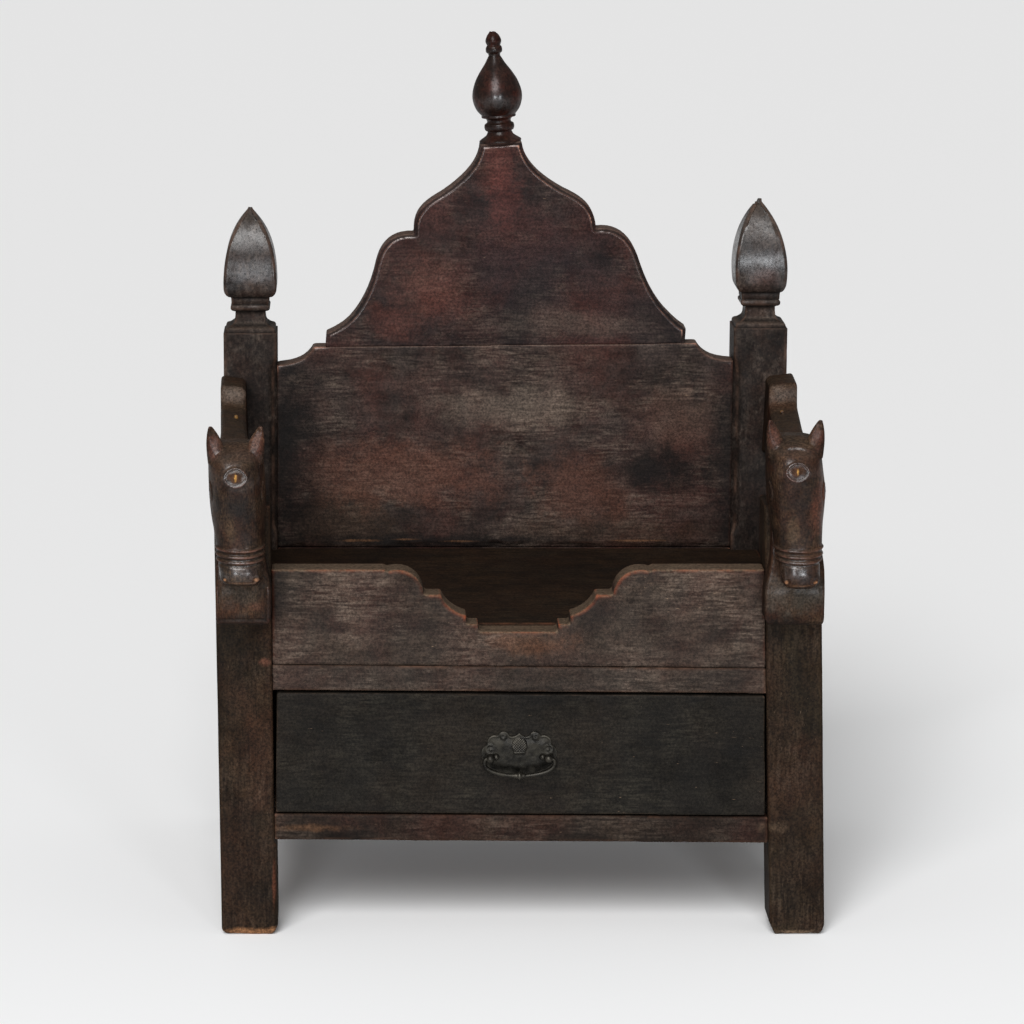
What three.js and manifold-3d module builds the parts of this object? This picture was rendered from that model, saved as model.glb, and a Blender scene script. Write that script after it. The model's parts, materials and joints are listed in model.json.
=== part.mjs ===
// A carved wooden throne: square posts with bud finials, a shaped plank back under a turned finial,
// arms that end in horses' heads, a scalloped apron, and a drawer with a bail pull under the seat.
// Millimetres, +Z up. The sitter faces -Y, so "left" below is the viewer's left, at -X.
// The origin is on the floor, midway between the arms and midway between front and back.
import * as THREE from "three";
import { mergeVertices } from "three/addons/utils/BufferGeometryUtils.js";
import Module from "manifold-3d";

const wasm = await Module();
wasm.setup();

// Driving dimensions of the plan
const GAP = 0.3; // clearance left between pieces that touch
const DEPTH = 754; // boss on a horse's forehead to the back of the posts
const HEAD_REACH = 96; // how far the bosses stand in front of the legs
const POST = 82; // side of a square post
const HALF_WIDTH = 432; // centre line to the outer face of the back posts
const PLANK = 45; // thickness of the back boards and the apron
const LEG_FRONT = -DEPTH / 2 + HEAD_REACH;
const LEG_BACK = LEG_FRONT + POST;
const POST_BACK = DEPTH / 2;
const POST_FRONT = POST_BACK - POST;
const POST_INNER = HALF_WIDTH - POST;

// Driving heights
const SEAT_TOP = 448;
const SEAT_THICK = 28;
const BOTTOM_RAIL = [138, 176.5];
const DRAWER_BAY_TOP = 357.5;
const APRON = [394.5, 535];
const ARM_BOTTOM = 628;
const ARM_TOP = 690;
const ARM_CREST = 720; // the raised back end of an arm
const BACK_JOINT = 765.5; // where the crest board stands on the lower back board
const CREST_TOP = 1076;
const POST_CAP = 789; // foot of the moulded cap on a back post

// The throne has settled with age: the back stands a little higher on the right, the boards in
// front fall to the right, and the crest wanders from side to side
const BACK_RACK = 0.01; // rise per millimetre across
const FRONT_RACK = -0.007;
const CREST_DRIFT = [[BACK_JOINT, 0], [838.5, 5.7], [954, -2.2], [CREST_TOP, -8.6]]; // height, shift
const FINIAL_LEAN = THREE.MathUtils.degToRad(4.4);

// The two sides were cut by hand and differ a little. inner and outer: faces of the front leg at
// the floor and at arm height; headX: middle of the muzzle; headLean: how far the head leans out
// per millimetre up; poll and chin: how far they stand above and below the common height; block:
// edges of the bracket under the muzzle; armX and armHalf: the arm where it meets the post;
// bud: height of the post's bud
const SIDES = [
  {
    name: "left", sign: -1, inner: [345, 351], outer: [422.4, 430.6], headX: 391, headLean: 0.045,
    poll: 0, chin: 0, block: [349, 427], armX: 414.5, armHalf: 21, bud: 137,
  },
  {
    name: "right", sign: 1, inner: [364, 345], outer: [443, 425.5], headX: 390.2, headLean: -0.06,
    poll: 9, chin: 4, block: [344, 428], armX: 418.5, armHalf: 23, bud: 142,
  },
];
const MUZZLE_Z = 545;

const WOOD = { color: 0x3a2820, roughness: 0.55, metalness: 0 };
const materials = {
  frame: new THREE.MeshStandardMaterial(WOOD),
  back: new THREE.MeshStandardMaterial({ ...WOOD, color: 0x3d2620 }),
  carved: new THREE.MeshStandardMaterial({ ...WOOD, color: 0x33221a, roughness: 0.38 }),
  seat: new THREE.MeshStandardMaterial({ ...WOOD, color: 0x2a2016 }),
  drawer: new THREE.MeshStandardMaterial({ color: 0x232423, roughness: 0.5, metalness: 0 }),
  drawerBox: new THREE.MeshStandardMaterial({ color: 0x4a3527, roughness: 0.8, metalness: 0 }),
  metal: new THREE.MeshStandardMaterial({ color: 0x2a241f, roughness: 0.35, metalness: 0.9 }),
};

const throne = new THREE.Group();

// Adds a named piece to a group, by default the throne itself.
function piece(name, geometry, material, parent = throne) {
  const mesh = new THREE.Mesh(geometry, material);
  mesh.name = name;
  parent.add(mesh);
  return mesh;
}

// A closed geometry as a solid that can be joined and cut.
function solid(geometry) {
  const bare = geometry.clone();
  bare.deleteAttribute("normal");
  bare.deleteAttribute("uv");
  const merged = mergeVertices(bare, 1e-3);
  return new wasm.Manifold(
    new wasm.Mesh({
      numProp: 3,
      vertProperties: merged.attributes.position.array,
      triVerts: new Uint32Array(merged.index.array),
    }),
  );
}

// A solid as a geometry with flat faces.
function geometryOf(body) {
  const mesh = body.getMesh();
  const geometry = new THREE.BufferGeometry();
  geometry.setAttribute("position", new THREE.BufferAttribute(mesh.vertProperties, 3));
  geometry.setIndex(new THREE.BufferAttribute(mesh.triVerts, 1));
  const flat = geometry.toNonIndexed();
  flat.computeVertexNormals();
  return flat;
}

const joined = (geometries) => geometries.map(solid).reduce((a, b) => a.add(b));

// A box given by its low and high corners.
function box(low, high) {
  const size = high.map((value, i) => value - low[i]);
  const middle = high.map((value, i) => (value + low[i]) / 2);
  return new THREE.BoxGeometry(...size).translate(...middle);
}

// A shape drawn in x and z, standing up and reaching from yFront to yBack.
function standing(shape, yFront, yBack, curveSegments = 8) {
  const options = { depth: yBack - yFront, bevelEnabled: false, curveSegments };
  return new THREE.ExtrudeGeometry(shape, options).rotateX(Math.PI / 2).translate(0, yBack, 0);
}

// A profile drawn in y and z, reaching across from xLow to xHigh.
function across(shape, xLow, xHigh, curveSegments = 8) {
  const options = { depth: xHigh - xLow, bevelEnabled: false, curveSegments };
  const turn = new THREE.Matrix4().makeBasis(
    new THREE.Vector3(0, 1, 0),
    new THREE.Vector3(0, 0, 1),
    new THREE.Vector3(1, 0, 0),
  );
  return new THREE.ExtrudeGeometry(shape, options).applyMatrix4(turn).translate(xLow, 0, 0);
}

// A closed skin over rings of points. Each ring turns anticlockwise seen from the last ring's end.
function loft(rings) {
  const count = rings[0].length;
  const position = rings.flat().flatMap((p) => [p.x, p.y, p.z]);
  const index = [];
  for (let i = 0; i + 1 < rings.length; i++) {
    for (let j = 0; j < count; j++) {
      const next = (j + 1) % count;
      const [a, b] = [i * count + j, i * count + next];
      const [c, d] = [a + count, b + count];
      index.push(a, b, d, a, d, c);
    }
  }
  const last = (rings.length - 1) * count;
  for (let j = 1; j + 1 < count; j++) {
    index.push(0, j + 1, j);
    index.push(last, last + j, last + j + 1);
  }
  const geometry = new THREE.BufferGeometry();
  geometry.setAttribute("position", new THREE.Float32BufferAttribute(position, 3));
  geometry.setIndex(index);
  return geometry;
}

// The corner points of a rectangle with rounded corners, anticlockwise, in its own plane.
function roundedRectangle(halfWide, halfHigh, radius, perCorner) {
  const points = [];
  for (let corner = 0; corner < 4; corner++) {
    const [sx, sy] = [[1, 1], [-1, 1], [-1, -1], [1, -1]][corner];
    for (let k = 0; k < perCorner; k++) {
      const angle = (corner + k / (perCorner - 1)) * (Math.PI / 2);
      points.push([
        sx * (halfWide - radius) + radius * Math.cos(angle),
        sy * (halfHigh - radius) + radius * Math.sin(angle),
      ]);
    }
  }
  return points;
}

// A level ring for an upright loft.
const levelRing = (outline, x, y, z) =>
  outline.map(([u, v]) => new THREE.Vector3(x + u, y + v, z));

// Where a face of a leg is at a height, and the end of a board that fits against its inner face.
const legFace = ([foot, top], z) => THREE.MathUtils.lerp(foot, top, z / ARM_BOTTOM);
const innerEnd = (side, z) => side.sign * (legFace(side.inner, z) - GAP);

// Front legs: square posts with eased corners and slightly worn feet, under the ends of the arms
function frontLeg(side) {
  const y = LEG_FRONT + POST / 2;
  const ring = (ease, z) => {
    const [inner, outer] = [legFace(side.inner, z), legFace(side.outer, z)];
    const outline = roundedRectangle((outer - inner) / 2 - ease, POST / 2 - ease, 3, 2);
    return levelRing(outline, (side.sign * (inner + outer)) / 2, y, z);
  };
  return loft([ring(4, 0), ring(0, 7), ring(0, ARM_BOTTOM - GAP)]);
}

// Half width of a bud at a share of its height: full near the foot, drawn in to a point.
const BUD = { foot: 54, half: 40.5, neck: 31, tip: 1.5 };
function budHalf(share) {
  const body = BUD.half * (1 - share ** 3) ** 0.95;
  const swell = Math.min(1, share / 0.11);
  const rounded = BUD.neck + (body - BUD.neck) * Math.sqrt(1 - (1 - swell) ** 2);
  return Math.max(BUD.tip, share < 0.11 ? rounded : body);
}

// Moulded cap of a back post: height above the cap's foot, and half width.
const CAP_STEPS = [
  [0, POST / 2], [1, 37], [6, 35.5], [10, 32.5], [12.5, 29.5], [13.5, 28.5], [18, 24.5], [32, 23.5],
  [33.5, 28.5], [36, 30.8], [40, 30.8], [42.5, 28.8], [53, 28.8],
];

// Back posts: one timber each, with a moulded cap and a four-sided bud carved at the top, and a
// stopped chamfer down the inner front corner between the arm and the seat
const CHAMFER = { size: 13, low: 462, high: 752, runOut: 26 };
function backPost(side) {
  const x = side.sign * (HALF_WIDTH - POST / 2);
  const y = POST_FRONT + POST / 2;
  const cap = POST_CAP + BACK_RACK * x;
  const ring = (half, z, radius) =>
    levelRing(roundedRectangle(half, half, Math.min(radius, half * 0.8), 2), x, y, z);
  const rings = [ring(POST / 2 - 4, 0, 3), ring(POST / 2, 7, 3)];
  CAP_STEPS.forEach(([height, half]) => rings.push(ring(half, cap + height, 3)));
  const budRings = 12;
  for (let i = 0; i <= budRings; i++) {
    const share = i < 4 ? i * 0.04 : 0.12 + ((i - 3) * 0.88) / (budRings - 3);
    rings.push(ring(budHalf(share), cap + BUD.foot + share * side.bud, 6));
  }

  const arris = [side.sign * POST_INNER, POST_FRONT];
  const diamond = (size, z) =>
    levelRing([[size, 0], [0, size], [-size, 0], [0, -size]], ...arris, z);
  const cutter = loft([
    diamond(0.2, CHAMFER.low),
    diamond(CHAMFER.size, CHAMFER.low + CHAMFER.runOut),
    diamond(CHAMFER.size, CHAMFER.high - CHAMFER.runOut),
    diamond(CHAMFER.size * 0.55, CHAMFER.high - CHAMFER.runOut * 0.4),
    diamond(0.2, CHAMFER.high),
  ]);
  return geometryOf(solid(loft(rings)).subtract(solid(cutter)));
}

// Back boards: a stepped ogee crest over a lower board whose ends drop in coves to the posts
const BOARD_FRONT = POST_FRONT + 14;
const BOARD_BACK = BOARD_FRONT + PLANK;
const CREST_FOOT = 276; // half width of the crest at the joint
const NECK = 31.5; // half width of the crest at its top
const LEDGE = 294.5; // half width of the lower board's level top
const COVE_END = 738; // where a cove meets its post

// How far the middle of the back stands to the side at a height.
function drift(z) {
  const level = THREE.MathUtils.clamp(z, BACK_JOINT, CREST_TOP);
  const next = Math.max(1, CREST_DRIFT.findIndex(([height]) => height >= level));
  const [[low, from], [high, to]] = CREST_DRIFT.slice(next - 1, next + 1);
  return THREE.MathUtils.mapLinear(level, low, high, from, to);
}

// Maps half width and height on one side of the back to a point, with the rack and drift of age.
function backPoint(sign, half, z) {
  const x = drift(z) + sign * half;
  return new THREE.Vector2(x, z + BACK_RACK * x);
}

// A cubic curve on the outline of the back, given by half widths and heights.
function backCurve(sign, ...points) {
  return new THREE.CubicBezierCurve(...points.map(([half, z]) => backPoint(sign, half, z)));
}

// The outline of one side of the crest, from its top down to the joint.
function crestSide(sign) {
  const top = CREST_TOP - 0.1 + sign * NECK * (Math.tan(FINIAL_LEAN) - BACK_RACK);
  return [
    backCurve(sign, [NECK, top], [34, 1048.5], [54, 1025.5], [93, 1001.5]),
    backCurve(sign, [93, 1001.5], [123, 986], [139, 973], [139, 940.5]),
    backCurve(sign, [139, 940.5], [171, 944], [191, 927], [200, 897]),
    backCurve(sign, [200, 897], [212, 852.5], [233, 808], [CREST_FOOT, 786]),
  ].flatMap((curve, i) => curve.getPoints(10).slice(i ? 1 : 0));
}

function crestBoard() {
  const foot = [1, -1].map((sign) => backPoint(sign, CREST_FOOT, BACK_JOINT));
  const outline = [...crestSide(1), ...foot, ...crestSide(-1).reverse()];
  return standing(new THREE.Shape(outline), BOARD_FRONT, BOARD_BACK);
}

function lowerBackBoard() {
  const half = POST_INNER - GAP;
  const cove = (sign) => {
    const end = new THREE.Vector2(sign * half, COVE_END + BACK_RACK * sign * half);
    const [start, a, b] = [[LEDGE, BACK_JOINT], [302, 749.5], [319, 739]].map(([x, z]) =>
      backPoint(sign, x, z - GAP),
    );
    return new THREE.CubicBezierCurve(start, a, b, end).getPoints(10);
  };
  const low = SEAT_TOP + GAP;
  const feet = [new THREE.Vector2(half, low), new THREE.Vector2(-half, low)];
  const outline = [...cove(1), ...feet, ...cove(-1).reverse()];
  return standing(new THREE.Shape(outline), BOARD_FRONT, BOARD_BACK);
}

// Closes the back under the seat.
function rearBoard() {
  const half = POST_INNER - GAP;
  return box([-half, BOARD_FRONT, BOTTOM_RAIL[0]], [half, BOARD_BACK, SEAT_TOP - GAP]);
}

// Turned finial: radius and height up the axis, with the beads and the pear-shaped belly as splines
const FINIAL_PROFILE = [
  [[32, 0], [31.5, 2.5], [26.6, 6], [20, 10.5], [18.2, 15.5]],
  [[18.2, 16], [22, 18.5], [22.9, 23.4], [22, 27], [18.5, 29.5]],
  [[18.5, 32], [21, 36], [25.8, 37.5]],
  [[26.2, 40.5], [33, 50], [37.4, 63], [37.4, 76], [32.5, 92], [24.7, 106], [15.7, 119], [8.8, 131]],
  [[9.2, 134], [12.2, 137], [12.6, 140.5], [11.8, 144], [10.2, 146.3]],
  [[10.4, 147], [12, 153.9], [8.6, 162], [3.5, 169]],
];
function finial() {
  const line = FINIAL_PROFILE.flatMap((stretch) => {
    const points = stretch.map(([r, z]) => new THREE.Vector2(r, z));
    return new THREE.SplineCurve(points).getPoints(stretch.length + 2);
  });
  const closed = [new THREE.Vector2(0, 0), ...line, new THREE.Vector2(0, line.at(-1).y)];
  return new THREE.LatheGeometry(closed, 22).rotateX(Math.PI / 2);
}

// Arms: one timber each, from the back post to the horse's head in front of the leg
const ARM_RUN = [
  // y from the leg's front face, share of the way from head to post in x, half width where it is
  // not the one at the post, top, bottom
  { y: -40, share: 0, half: 35, top: 706, bottom: ARM_BOTTOM },
  { y: 8, share: 0, half: 35, top: 706, bottom: ARM_BOTTOM },
  { y: 62, share: 0.12, half: 30, top: 698, bottom: ARM_BOTTOM },
  { y: 130, share: 0.3, half: 23, top: 691, bottom: ARM_BOTTOM },
  { y: 300, share: 0.6, top: ARM_TOP, bottom: ARM_BOTTOM - 2 },
  { y: 440, share: 0.85, top: ARM_TOP, bottom: ARM_BOTTOM - 6 },
  { y: 462, share: 0.88, top: ARM_TOP + 7, bottom: ARM_BOTTOM - 8 },
  { y: 474, share: 0.9, top: ARM_CREST - 9, bottom: ARM_BOTTOM - 10 },
  { y: 492, share: 0.92, top: ARM_CREST, bottom: ARM_BOTTOM - 13 },
  { y: POST_FRONT - LEG_FRONT - GAP, share: 1, top: ARM_CREST, bottom: ARM_BOTTOM - 28 },
];

function armBar(side) {
  return loft(
    ARM_RUN.map(({ y, share, half, top, bottom }) => {
      const z = (top + bottom) / 2;
      const head = Math.abs(headMiddle(side, z));
      const x = side.sign * THREE.MathUtils.lerp(head, side.armX, share);
      return roundedRectangle((top - bottom) / 2, half ?? side.armHalf, 9, 3).map(
        ([up, out]) => new THREE.Vector3(x + out, LEG_FRONT + y, z + up),
      );
    }),
  );
}

// Level sections of a head, from chin to poll: height, front and back in y from the leg's front
// face, half width. The noseband is the wider pair.
const HEAD_SECTIONS = [
  [528, -78, -54, 21], [533, -86, -49, 27.5], [545, -89, -42, 29.5], [556, -86, -38, 29.5],
  [558.5, -86, -37, 30.5], [560, -89, -36, 33], [580, -89, -32, 33.4], [582, -86, -31, 32.4],
  [604, -85, -18, 34], [630, -89, -4, 37], [655, -92.5, 4, 38.5], [676, -93, 8, 38.5],
  [692, -90, 8, 38], [708, -80, 8, 37], [719, -66, 4, 33], [726, -50, -8, 22],
];
const RING_POINTS = 20;
const SQUARENESS = 2.7; // a little squarer than an ellipse

const NOSEBAND = [560, 580]; // its foot and its top
const POLL_Z = 700;
const CHIN_Z = 528;

// Where a common height is on one side's head, with its own poll and chin.
function headHeight(side, z) {
  const [foot, top] = NOSEBAND;
  const up = THREE.MathUtils.clamp((z - top) / (POLL_Z - top), 0, 1);
  const down = THREE.MathUtils.clamp((foot - z) / (foot - CHIN_Z), 0, 1);
  return z + side.poll * up - side.chin * down;
}

// The middle of a head at a height.
const headMiddle = (side, z) => side.sign * (side.headX + side.headLean * (z - MUZZLE_Z));

function headBody(side) {
  return loft(
    HEAD_SECTIONS.map(([z, front, back, half]) => {
      const x = headMiddle(side, z);
      const y = LEG_FRONT + (front + back) / 2;
      const deep = (back - front) / 2;
      const round = (value) => Math.sign(value) * Math.abs(value) ** (2 / SQUARENESS);
      return Array.from({ length: RING_POINTS }, (_, i) => {
        const angle = (i / RING_POINTS) * 2 * Math.PI;
        const [u, v] = [round(Math.cos(angle)), round(Math.sin(angle))];
        return new THREE.Vector3(x + half * u, y + deep * v, headHeight(side, z));
      });
    }),
  );
}

// One pricked ear, leaning out from the poll.
const EAR = { out: 24.5, lean: 10, low: 706, high: 754, y: -52, wide: 12.5, deep: 8 };
function ear(side, way) {
  const x = headMiddle(side, EAR.low);
  return loft(
    [0, 0.35, 0.7, 1].map((share) => {
      const size = Math.max(0.12, 1 - share ** 1.6);
      const outline = Array.from({ length: 8 }, (_, i) => {
        const angle = (i / 8) * 2 * Math.PI;
        return [EAR.wide * size * Math.cos(angle), EAR.deep * size * Math.sin(angle)];
      });
      const z = headHeight(side, THREE.MathUtils.lerp(EAR.low, EAR.high, share));
      return levelRing(outline, x + way * (EAR.out + EAR.lean * share), LEG_FRONT + EAR.y, z);
    }),
  );
}

// The round boss on the forehead, and on each side an eye and the round of the jaw.
const BOSS = { radius: 16, z: 684, length: 24 };
function boss(side) {
  const disc = new THREE.CylinderGeometry(BOSS.radius + 2, BOSS.radius, BOSS.length, 18);
  const y = LEG_FRONT - HEAD_REACH + BOSS.length / 2;
  return disc.translate(headMiddle(side, BOSS.z), y, headHeight(side, BOSS.z));
}
const EYE = { out: 33.5, y: -58, z: 667 };
function eye(side, way) {
  const ball = new THREE.SphereGeometry(1, 10, 8).scale(6, 8, 11);
  return ball.translate(headMiddle(side, EYE.z) + way * EYE.out, LEG_FRONT + EYE.y, EYE.z);
}

const JAW = { out: 36, y: -30, z: 622 };
function jaw(side, way) {
  const disc = new THREE.SphereGeometry(1, 12, 8).scale(8, 28, 36);
  return disc.translate(headMiddle(side, JAW.z) + way * JAW.out, LEG_FRONT + JAW.y, JAW.z);
}

// The bracket under the muzzle, which laps over the front of the leg: an outline seen from the
// front, cut to a profile that swells towards its foot.
const BRACKET = { low: 465, high: 660, waist: 562, corner: 9, thin: 28, thick: 46 };
function bracket(side) {
  const [inner, outer] = side.block;
  const face = new THREE.Shape();
  face.moveTo(outer, BRACKET.low);
  face.lineTo(outer, BRACKET.high);
  face.lineTo(inner + 12, BRACKET.high);
  face.lineTo(inner + 9, BRACKET.waist);
  face.bezierCurveTo(inner + 9, 535, inner, 535, inner, 512);
  face.lineTo(inner, BRACKET.low + BRACKET.corner);
  face.quadraticCurveTo(inner, BRACKET.low, inner + BRACKET.corner, BRACKET.low);

  const profile = new THREE.Shape();
  const at = (y) => LEG_FRONT + y;
  profile.moveTo(at(-GAP), BRACKET.low);
  profile.lineTo(at(-GAP), BRACKET.high);
  const { thin, thick } = BRACKET;
  profile.lineTo(at(-thin), BRACKET.high);
  profile.lineTo(at(-thin), 575);
  profile.bezierCurveTo(at(-thin), 545, at(-thick), 545, at(-thick), 505);
  profile.lineTo(at(-thick), BRACKET.low + 8);
  profile.quadraticCurveTo(at(-thick), BRACKET.low, at(8 - thick), BRACKET.low);

  const seenFromFront = solid(standing(face, at(-thick - 10), at(10)));
  const body = seenFromFront.intersect(solid(across(profile, inner - 20, outer + 20)));
  return side.sign > 0 ? body : body.mirror([1, 0, 0]);
}

function arm(side) {
  const carved = [armBar(side), headBody(side), boss(side)];
  [-1, 1].forEach((way) => carved.push(ear(side, way), eye(side, way), jaw(side, way)));
  return geometryOf(joined(carved).add(bracket(side)));
}

// Apron: a plank between the legs with a scalloped dip in the middle
const FRONT_FACE = LEG_FRONT + 3; // the boards between the legs sit just behind their faces
const DIP = { floor: 445, tread: 456, cove: 468.5, ledge: 498.5 };
// Half widths of the dip at each break
const DIP_HALF = { floor: 56.5, tread: 73.5, cove: 110, ledge: 133, lobe: 189.5 };

function dipSide(sign) {
  const at = (half, z) => new THREE.Vector2(sign * half, z);
  const shoulder = APRON[1];
  const cove = new THREE.CubicBezierCurve(
    at(DIP_HALF.cove, DIP.ledge),
    at(DIP_HALF.cove - 7, DIP.cove + 14),
    at(DIP_HALF.tread + 16, DIP.cove + 4),
    at(DIP_HALF.tread, DIP.cove),
  );
  const lobe = new THREE.CubicBezierCurve(
    at(DIP_HALF.lobe - 2, shoulder - 3),
    at(DIP_HALF.lobe - 18, shoulder + 3),
    at(DIP_HALF.ledge + 7, shoulder + 1),
    at(DIP_HALF.ledge, DIP.ledge),
  );
  return [
    at(DIP_HALF.lobe, shoulder),
    ...lobe.getPoints(10),
    ...cove.getPoints(8),
    at(DIP_HALF.tread, DIP.tread),
    at(DIP_HALF.floor, DIP.tread),
    at(DIP_HALF.floor, DIP.floor),
  ];
}

function apron() {
  const corner = (side, z) => new THREE.Vector2(innerEnd(side, z), z);
  const foot = (side) => corner(side, APRON[0] + GAP + FRONT_RACK * innerEnd(side, APRON[0]));
  const [left, right] = SIDES;
  const outline = [
    foot(left),
    foot(right),
    corner(right, APRON[1]),
    ...dipSide(1),
    ...dipSide(-1).reverse(),
    corner(left, APRON[1]),
  ];
  return standing(new THREE.Shape(outline), FRONT_FACE, FRONT_FACE + PLANK);
}

// A board between two ends given by height, with its long edges racked.
function rackedBoard([left, right], [low, high], yFront, yBack) {
  const at = (x, z) => new THREE.Vector2(x, z + FRONT_RACK * x);
  const outline = [at(left(low), low), at(right(low), low), at(right(high), high), at(left(high), high)];
  return standing(new THREE.Shape(outline), yFront, yBack);
}

// Rails over and under the drawer.
const RAIL_THICK = 40;
function rail(low, high) {
  const ends = SIDES.map((side) => (z) => innerEnd(side, z));
  return rackedBoard(ends, [low, high], FRONT_FACE, FRONT_FACE + RAIL_THICK);
}

// Side boards under the arms, from the bottom rail up to the apron's height
const SIDE_BOARD = { inner: 393, thick: 32 };
function sideBoard(side) {
  const inner = side.sign * SIDE_BOARD.inner;
  const outer = side.sign * (SIDE_BOARD.inner + SIDE_BOARD.thick);
  return box(
    [Math.min(inner, outer), LEG_BACK + GAP, BOTTOM_RAIL[0]],
    [Math.max(inner, outer), POST_FRONT - GAP, APRON[1]],
  );
}

// Seat: one board, notched round the legs and the back posts
function seatBoard() {
  const front = FRONT_FACE + PLANK + GAP;
  const back = BOARD_FRONT - GAP;
  const levels = [SEAT_TOP - SEAT_THICK, SEAT_TOP];
  const ends = SIDES.flatMap((side) => levels.map((z) => Math.abs(innerEnd(side, z))));
  const betweenLegs = Math.min(...ends);
  const betweenBoards = SIDE_BOARD.inner - GAP;
  const steps = [
    [betweenLegs, front], [betweenLegs, LEG_BACK + GAP],
    [betweenBoards, LEG_BACK + GAP], [betweenBoards, POST_FRONT - GAP],
    [POST_INNER - GAP, POST_FRONT - GAP], [POST_INNER - GAP, back],
  ];
  const right = steps.map(([x, y]) => new THREE.Vector2(x, y));
  const left = steps.map(([x, y]) => new THREE.Vector2(-x, y)).reverse();
  const plan = new THREE.Shape([...right, ...left]);
  const options = { depth: SEAT_THICK, bevelEnabled: false };
  return new THREE.ExtrudeGeometry(plan, options).translate(0, 0, SEAT_TOP - SEAT_THICK);
}

// Drawer: a box of thin boards behind an ebonised front, sliding on two runners
const DRAWER = { left: -341.6, right: 350, low: 179, high: 354.5, box: 182, thick: 24, depth: 520 };
const FACE_LEFT = [-344.2, -342.5]; // ends of the drawer's face at its foot and its head
const FACE_RIGHT = [354.4, 350.8];
const BOX_WALL = 14;
const DRAWER_FACE = LEG_FRONT + 2;
const DRAWER_REAR = LEG_FRONT + DRAWER.depth;
const DRAWER_INSIDE = [DRAWER.left + 4 + BOX_WALL, DRAWER.right - 4 - BOX_WALL];
const BOX_FRONT = DRAWER_FACE + DRAWER.thick + GAP;

function drawer() {
  const group = new THREE.Group();
  const across = (low, high) => (z) => THREE.MathUtils.mapLinear(z, DRAWER.low, DRAWER.high, low, high);
  const ends = [across(...FACE_LEFT), across(...FACE_RIGHT)];
  const heights = [DRAWER.low, DRAWER.high];
  const front = rackedBoard(ends, heights, DRAWER_FACE, DRAWER_FACE + DRAWER.thick);
  piece("drawer_front", front, materials.drawer, group);
  const wallTop = DRAWER.high - 15;
  SIDES.forEach((side, i) => {
    const inner = DRAWER_INSIDE[i];
    const outer = inner + side.sign * BOX_WALL;
    const low = [Math.min(inner, outer), BOX_FRONT, DRAWER.box];
    const wall = box(low, [Math.max(inner, outer), DRAWER_REAR, wallTop]);
    piece(`drawer_side_${side.name}`, wall, materials.drawerBox, group);
  });
  const [left, right] = [DRAWER_INSIDE[0] + GAP, DRAWER_INSIDE[1] - GAP];
  const back = box([left, DRAWER_REAR - BOX_WALL, DRAWER.box], [right, DRAWER_REAR, wallTop - 4]);
  piece("drawer_back", back, materials.drawerBox, group);
  const bottom = box(
    [left, BOX_FRONT, DRAWER.box + 2],
    [right, DRAWER_REAR - BOX_WALL - GAP, DRAWER.box + 12],
  );
  piece("drawer_bottom", bottom, materials.drawerBox, group);
  return group;
}

const RUNNER_INNER = 322;
function runner(side) {
  const inner = side.sign * RUNNER_INNER;
  const outer = side.sign * (SIDE_BOARD.inner - GAP);
  return box(
    [Math.min(inner, outer), LEG_BACK + GAP, DRAWER.box - 24],
    [Math.max(inner, outer), POST_FRONT - GAP, DRAWER.box - 2 * GAP],
  );
}

// Bail pull: a shaped plate, two studs, and a bail hung between them
const PULL = { x: 2.6, plateZ: 270.5, plateThick: 2.5, pivotZ: 263.5, studs: 41.5 };
const PLATE_FACE = DRAWER_FACE - GAP - PULL.plateThick;
const DOME_Z = 9.5; // middle of the boss on the plate, above the plate's own middle
const STUD = { ball: 6, hole: 3.5, reach: 11.5 };
const PIVOT_Y = PLATE_FACE - STUD.reach;
const BAIL = { rod: 2.9, half: 50, drop: 25, knop: 7 };

// Right half of the plate's outline, from its foot to the middle of its top edge.
function pullPlate() {
  const half = new THREE.Path();
  half.moveTo(0, -34.5);
  half.bezierCurveTo(8, -29, 22, -34, 33, -27);
  half.bezierCurveTo(45, -25, 55, -12, 54, 0);
  half.bezierCurveTo(53, 8, 47, 9, 46, 13);
  half.bezierCurveTo(47, 21, 38, 27, 31, 24);
  half.bezierCurveTo(29, 32, 16, 33, 14, 24);
  half.bezierCurveTo(9, 21, 5, 24, 0, 28);
  const right = half.getPoints(6);
  const left = right.slice(1, -1).map((p) => new THREE.Vector2(-p.x, p.y)).reverse();
  const plate = standing(new THREE.Shape([...right, ...left]), PLATE_FACE, PLATE_FACE + PULL.plateThick);
  const domeProfile = [[0, 0], [12, 0], [11.4, 2.4], [8, 4], [0, 4.6]].map((p) => new THREE.Vector2(...p));
  const dome = new THREE.LatheGeometry(domeProfile, 16);
  dome.rotateX(Math.PI).translate(0, PLATE_FACE + 1, DOME_Z);
  return geometryOf(joined([plate, dome])).translate(PULL.x, 0, PULL.plateZ);
}

function pullStud(way) {
  const profile = [[0, 0], [7, 0], [6.4, 2], [3.6, 3.2], [3.4, 6]].map((p) => new THREE.Vector2(...p));
  for (let i = 1; i <= 6; i++) {
    const angle = THREE.MathUtils.lerp(-0.9, Math.PI / 2, i / 6);
    const r = i < 6 ? STUD.ball * Math.cos(angle) : 0;
    profile.push(new THREE.Vector2(r, STUD.reach - GAP + STUD.ball * Math.sin(angle)));
  }
  const turned = new THREE.LatheGeometry(profile, 14).rotateX(Math.PI);
  const hole = new THREE.CylinderGeometry(STUD.hole, STUD.hole, 20, 12).rotateZ(Math.PI / 2);
  const body = solid(turned).subtract(solid(hole.translate(0, -STUD.reach + GAP, 0)));
  return geometryOf(body).translate(PULL.x + way * PULL.studs, PLATE_FACE - GAP, PULL.pivotZ);
}

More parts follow.
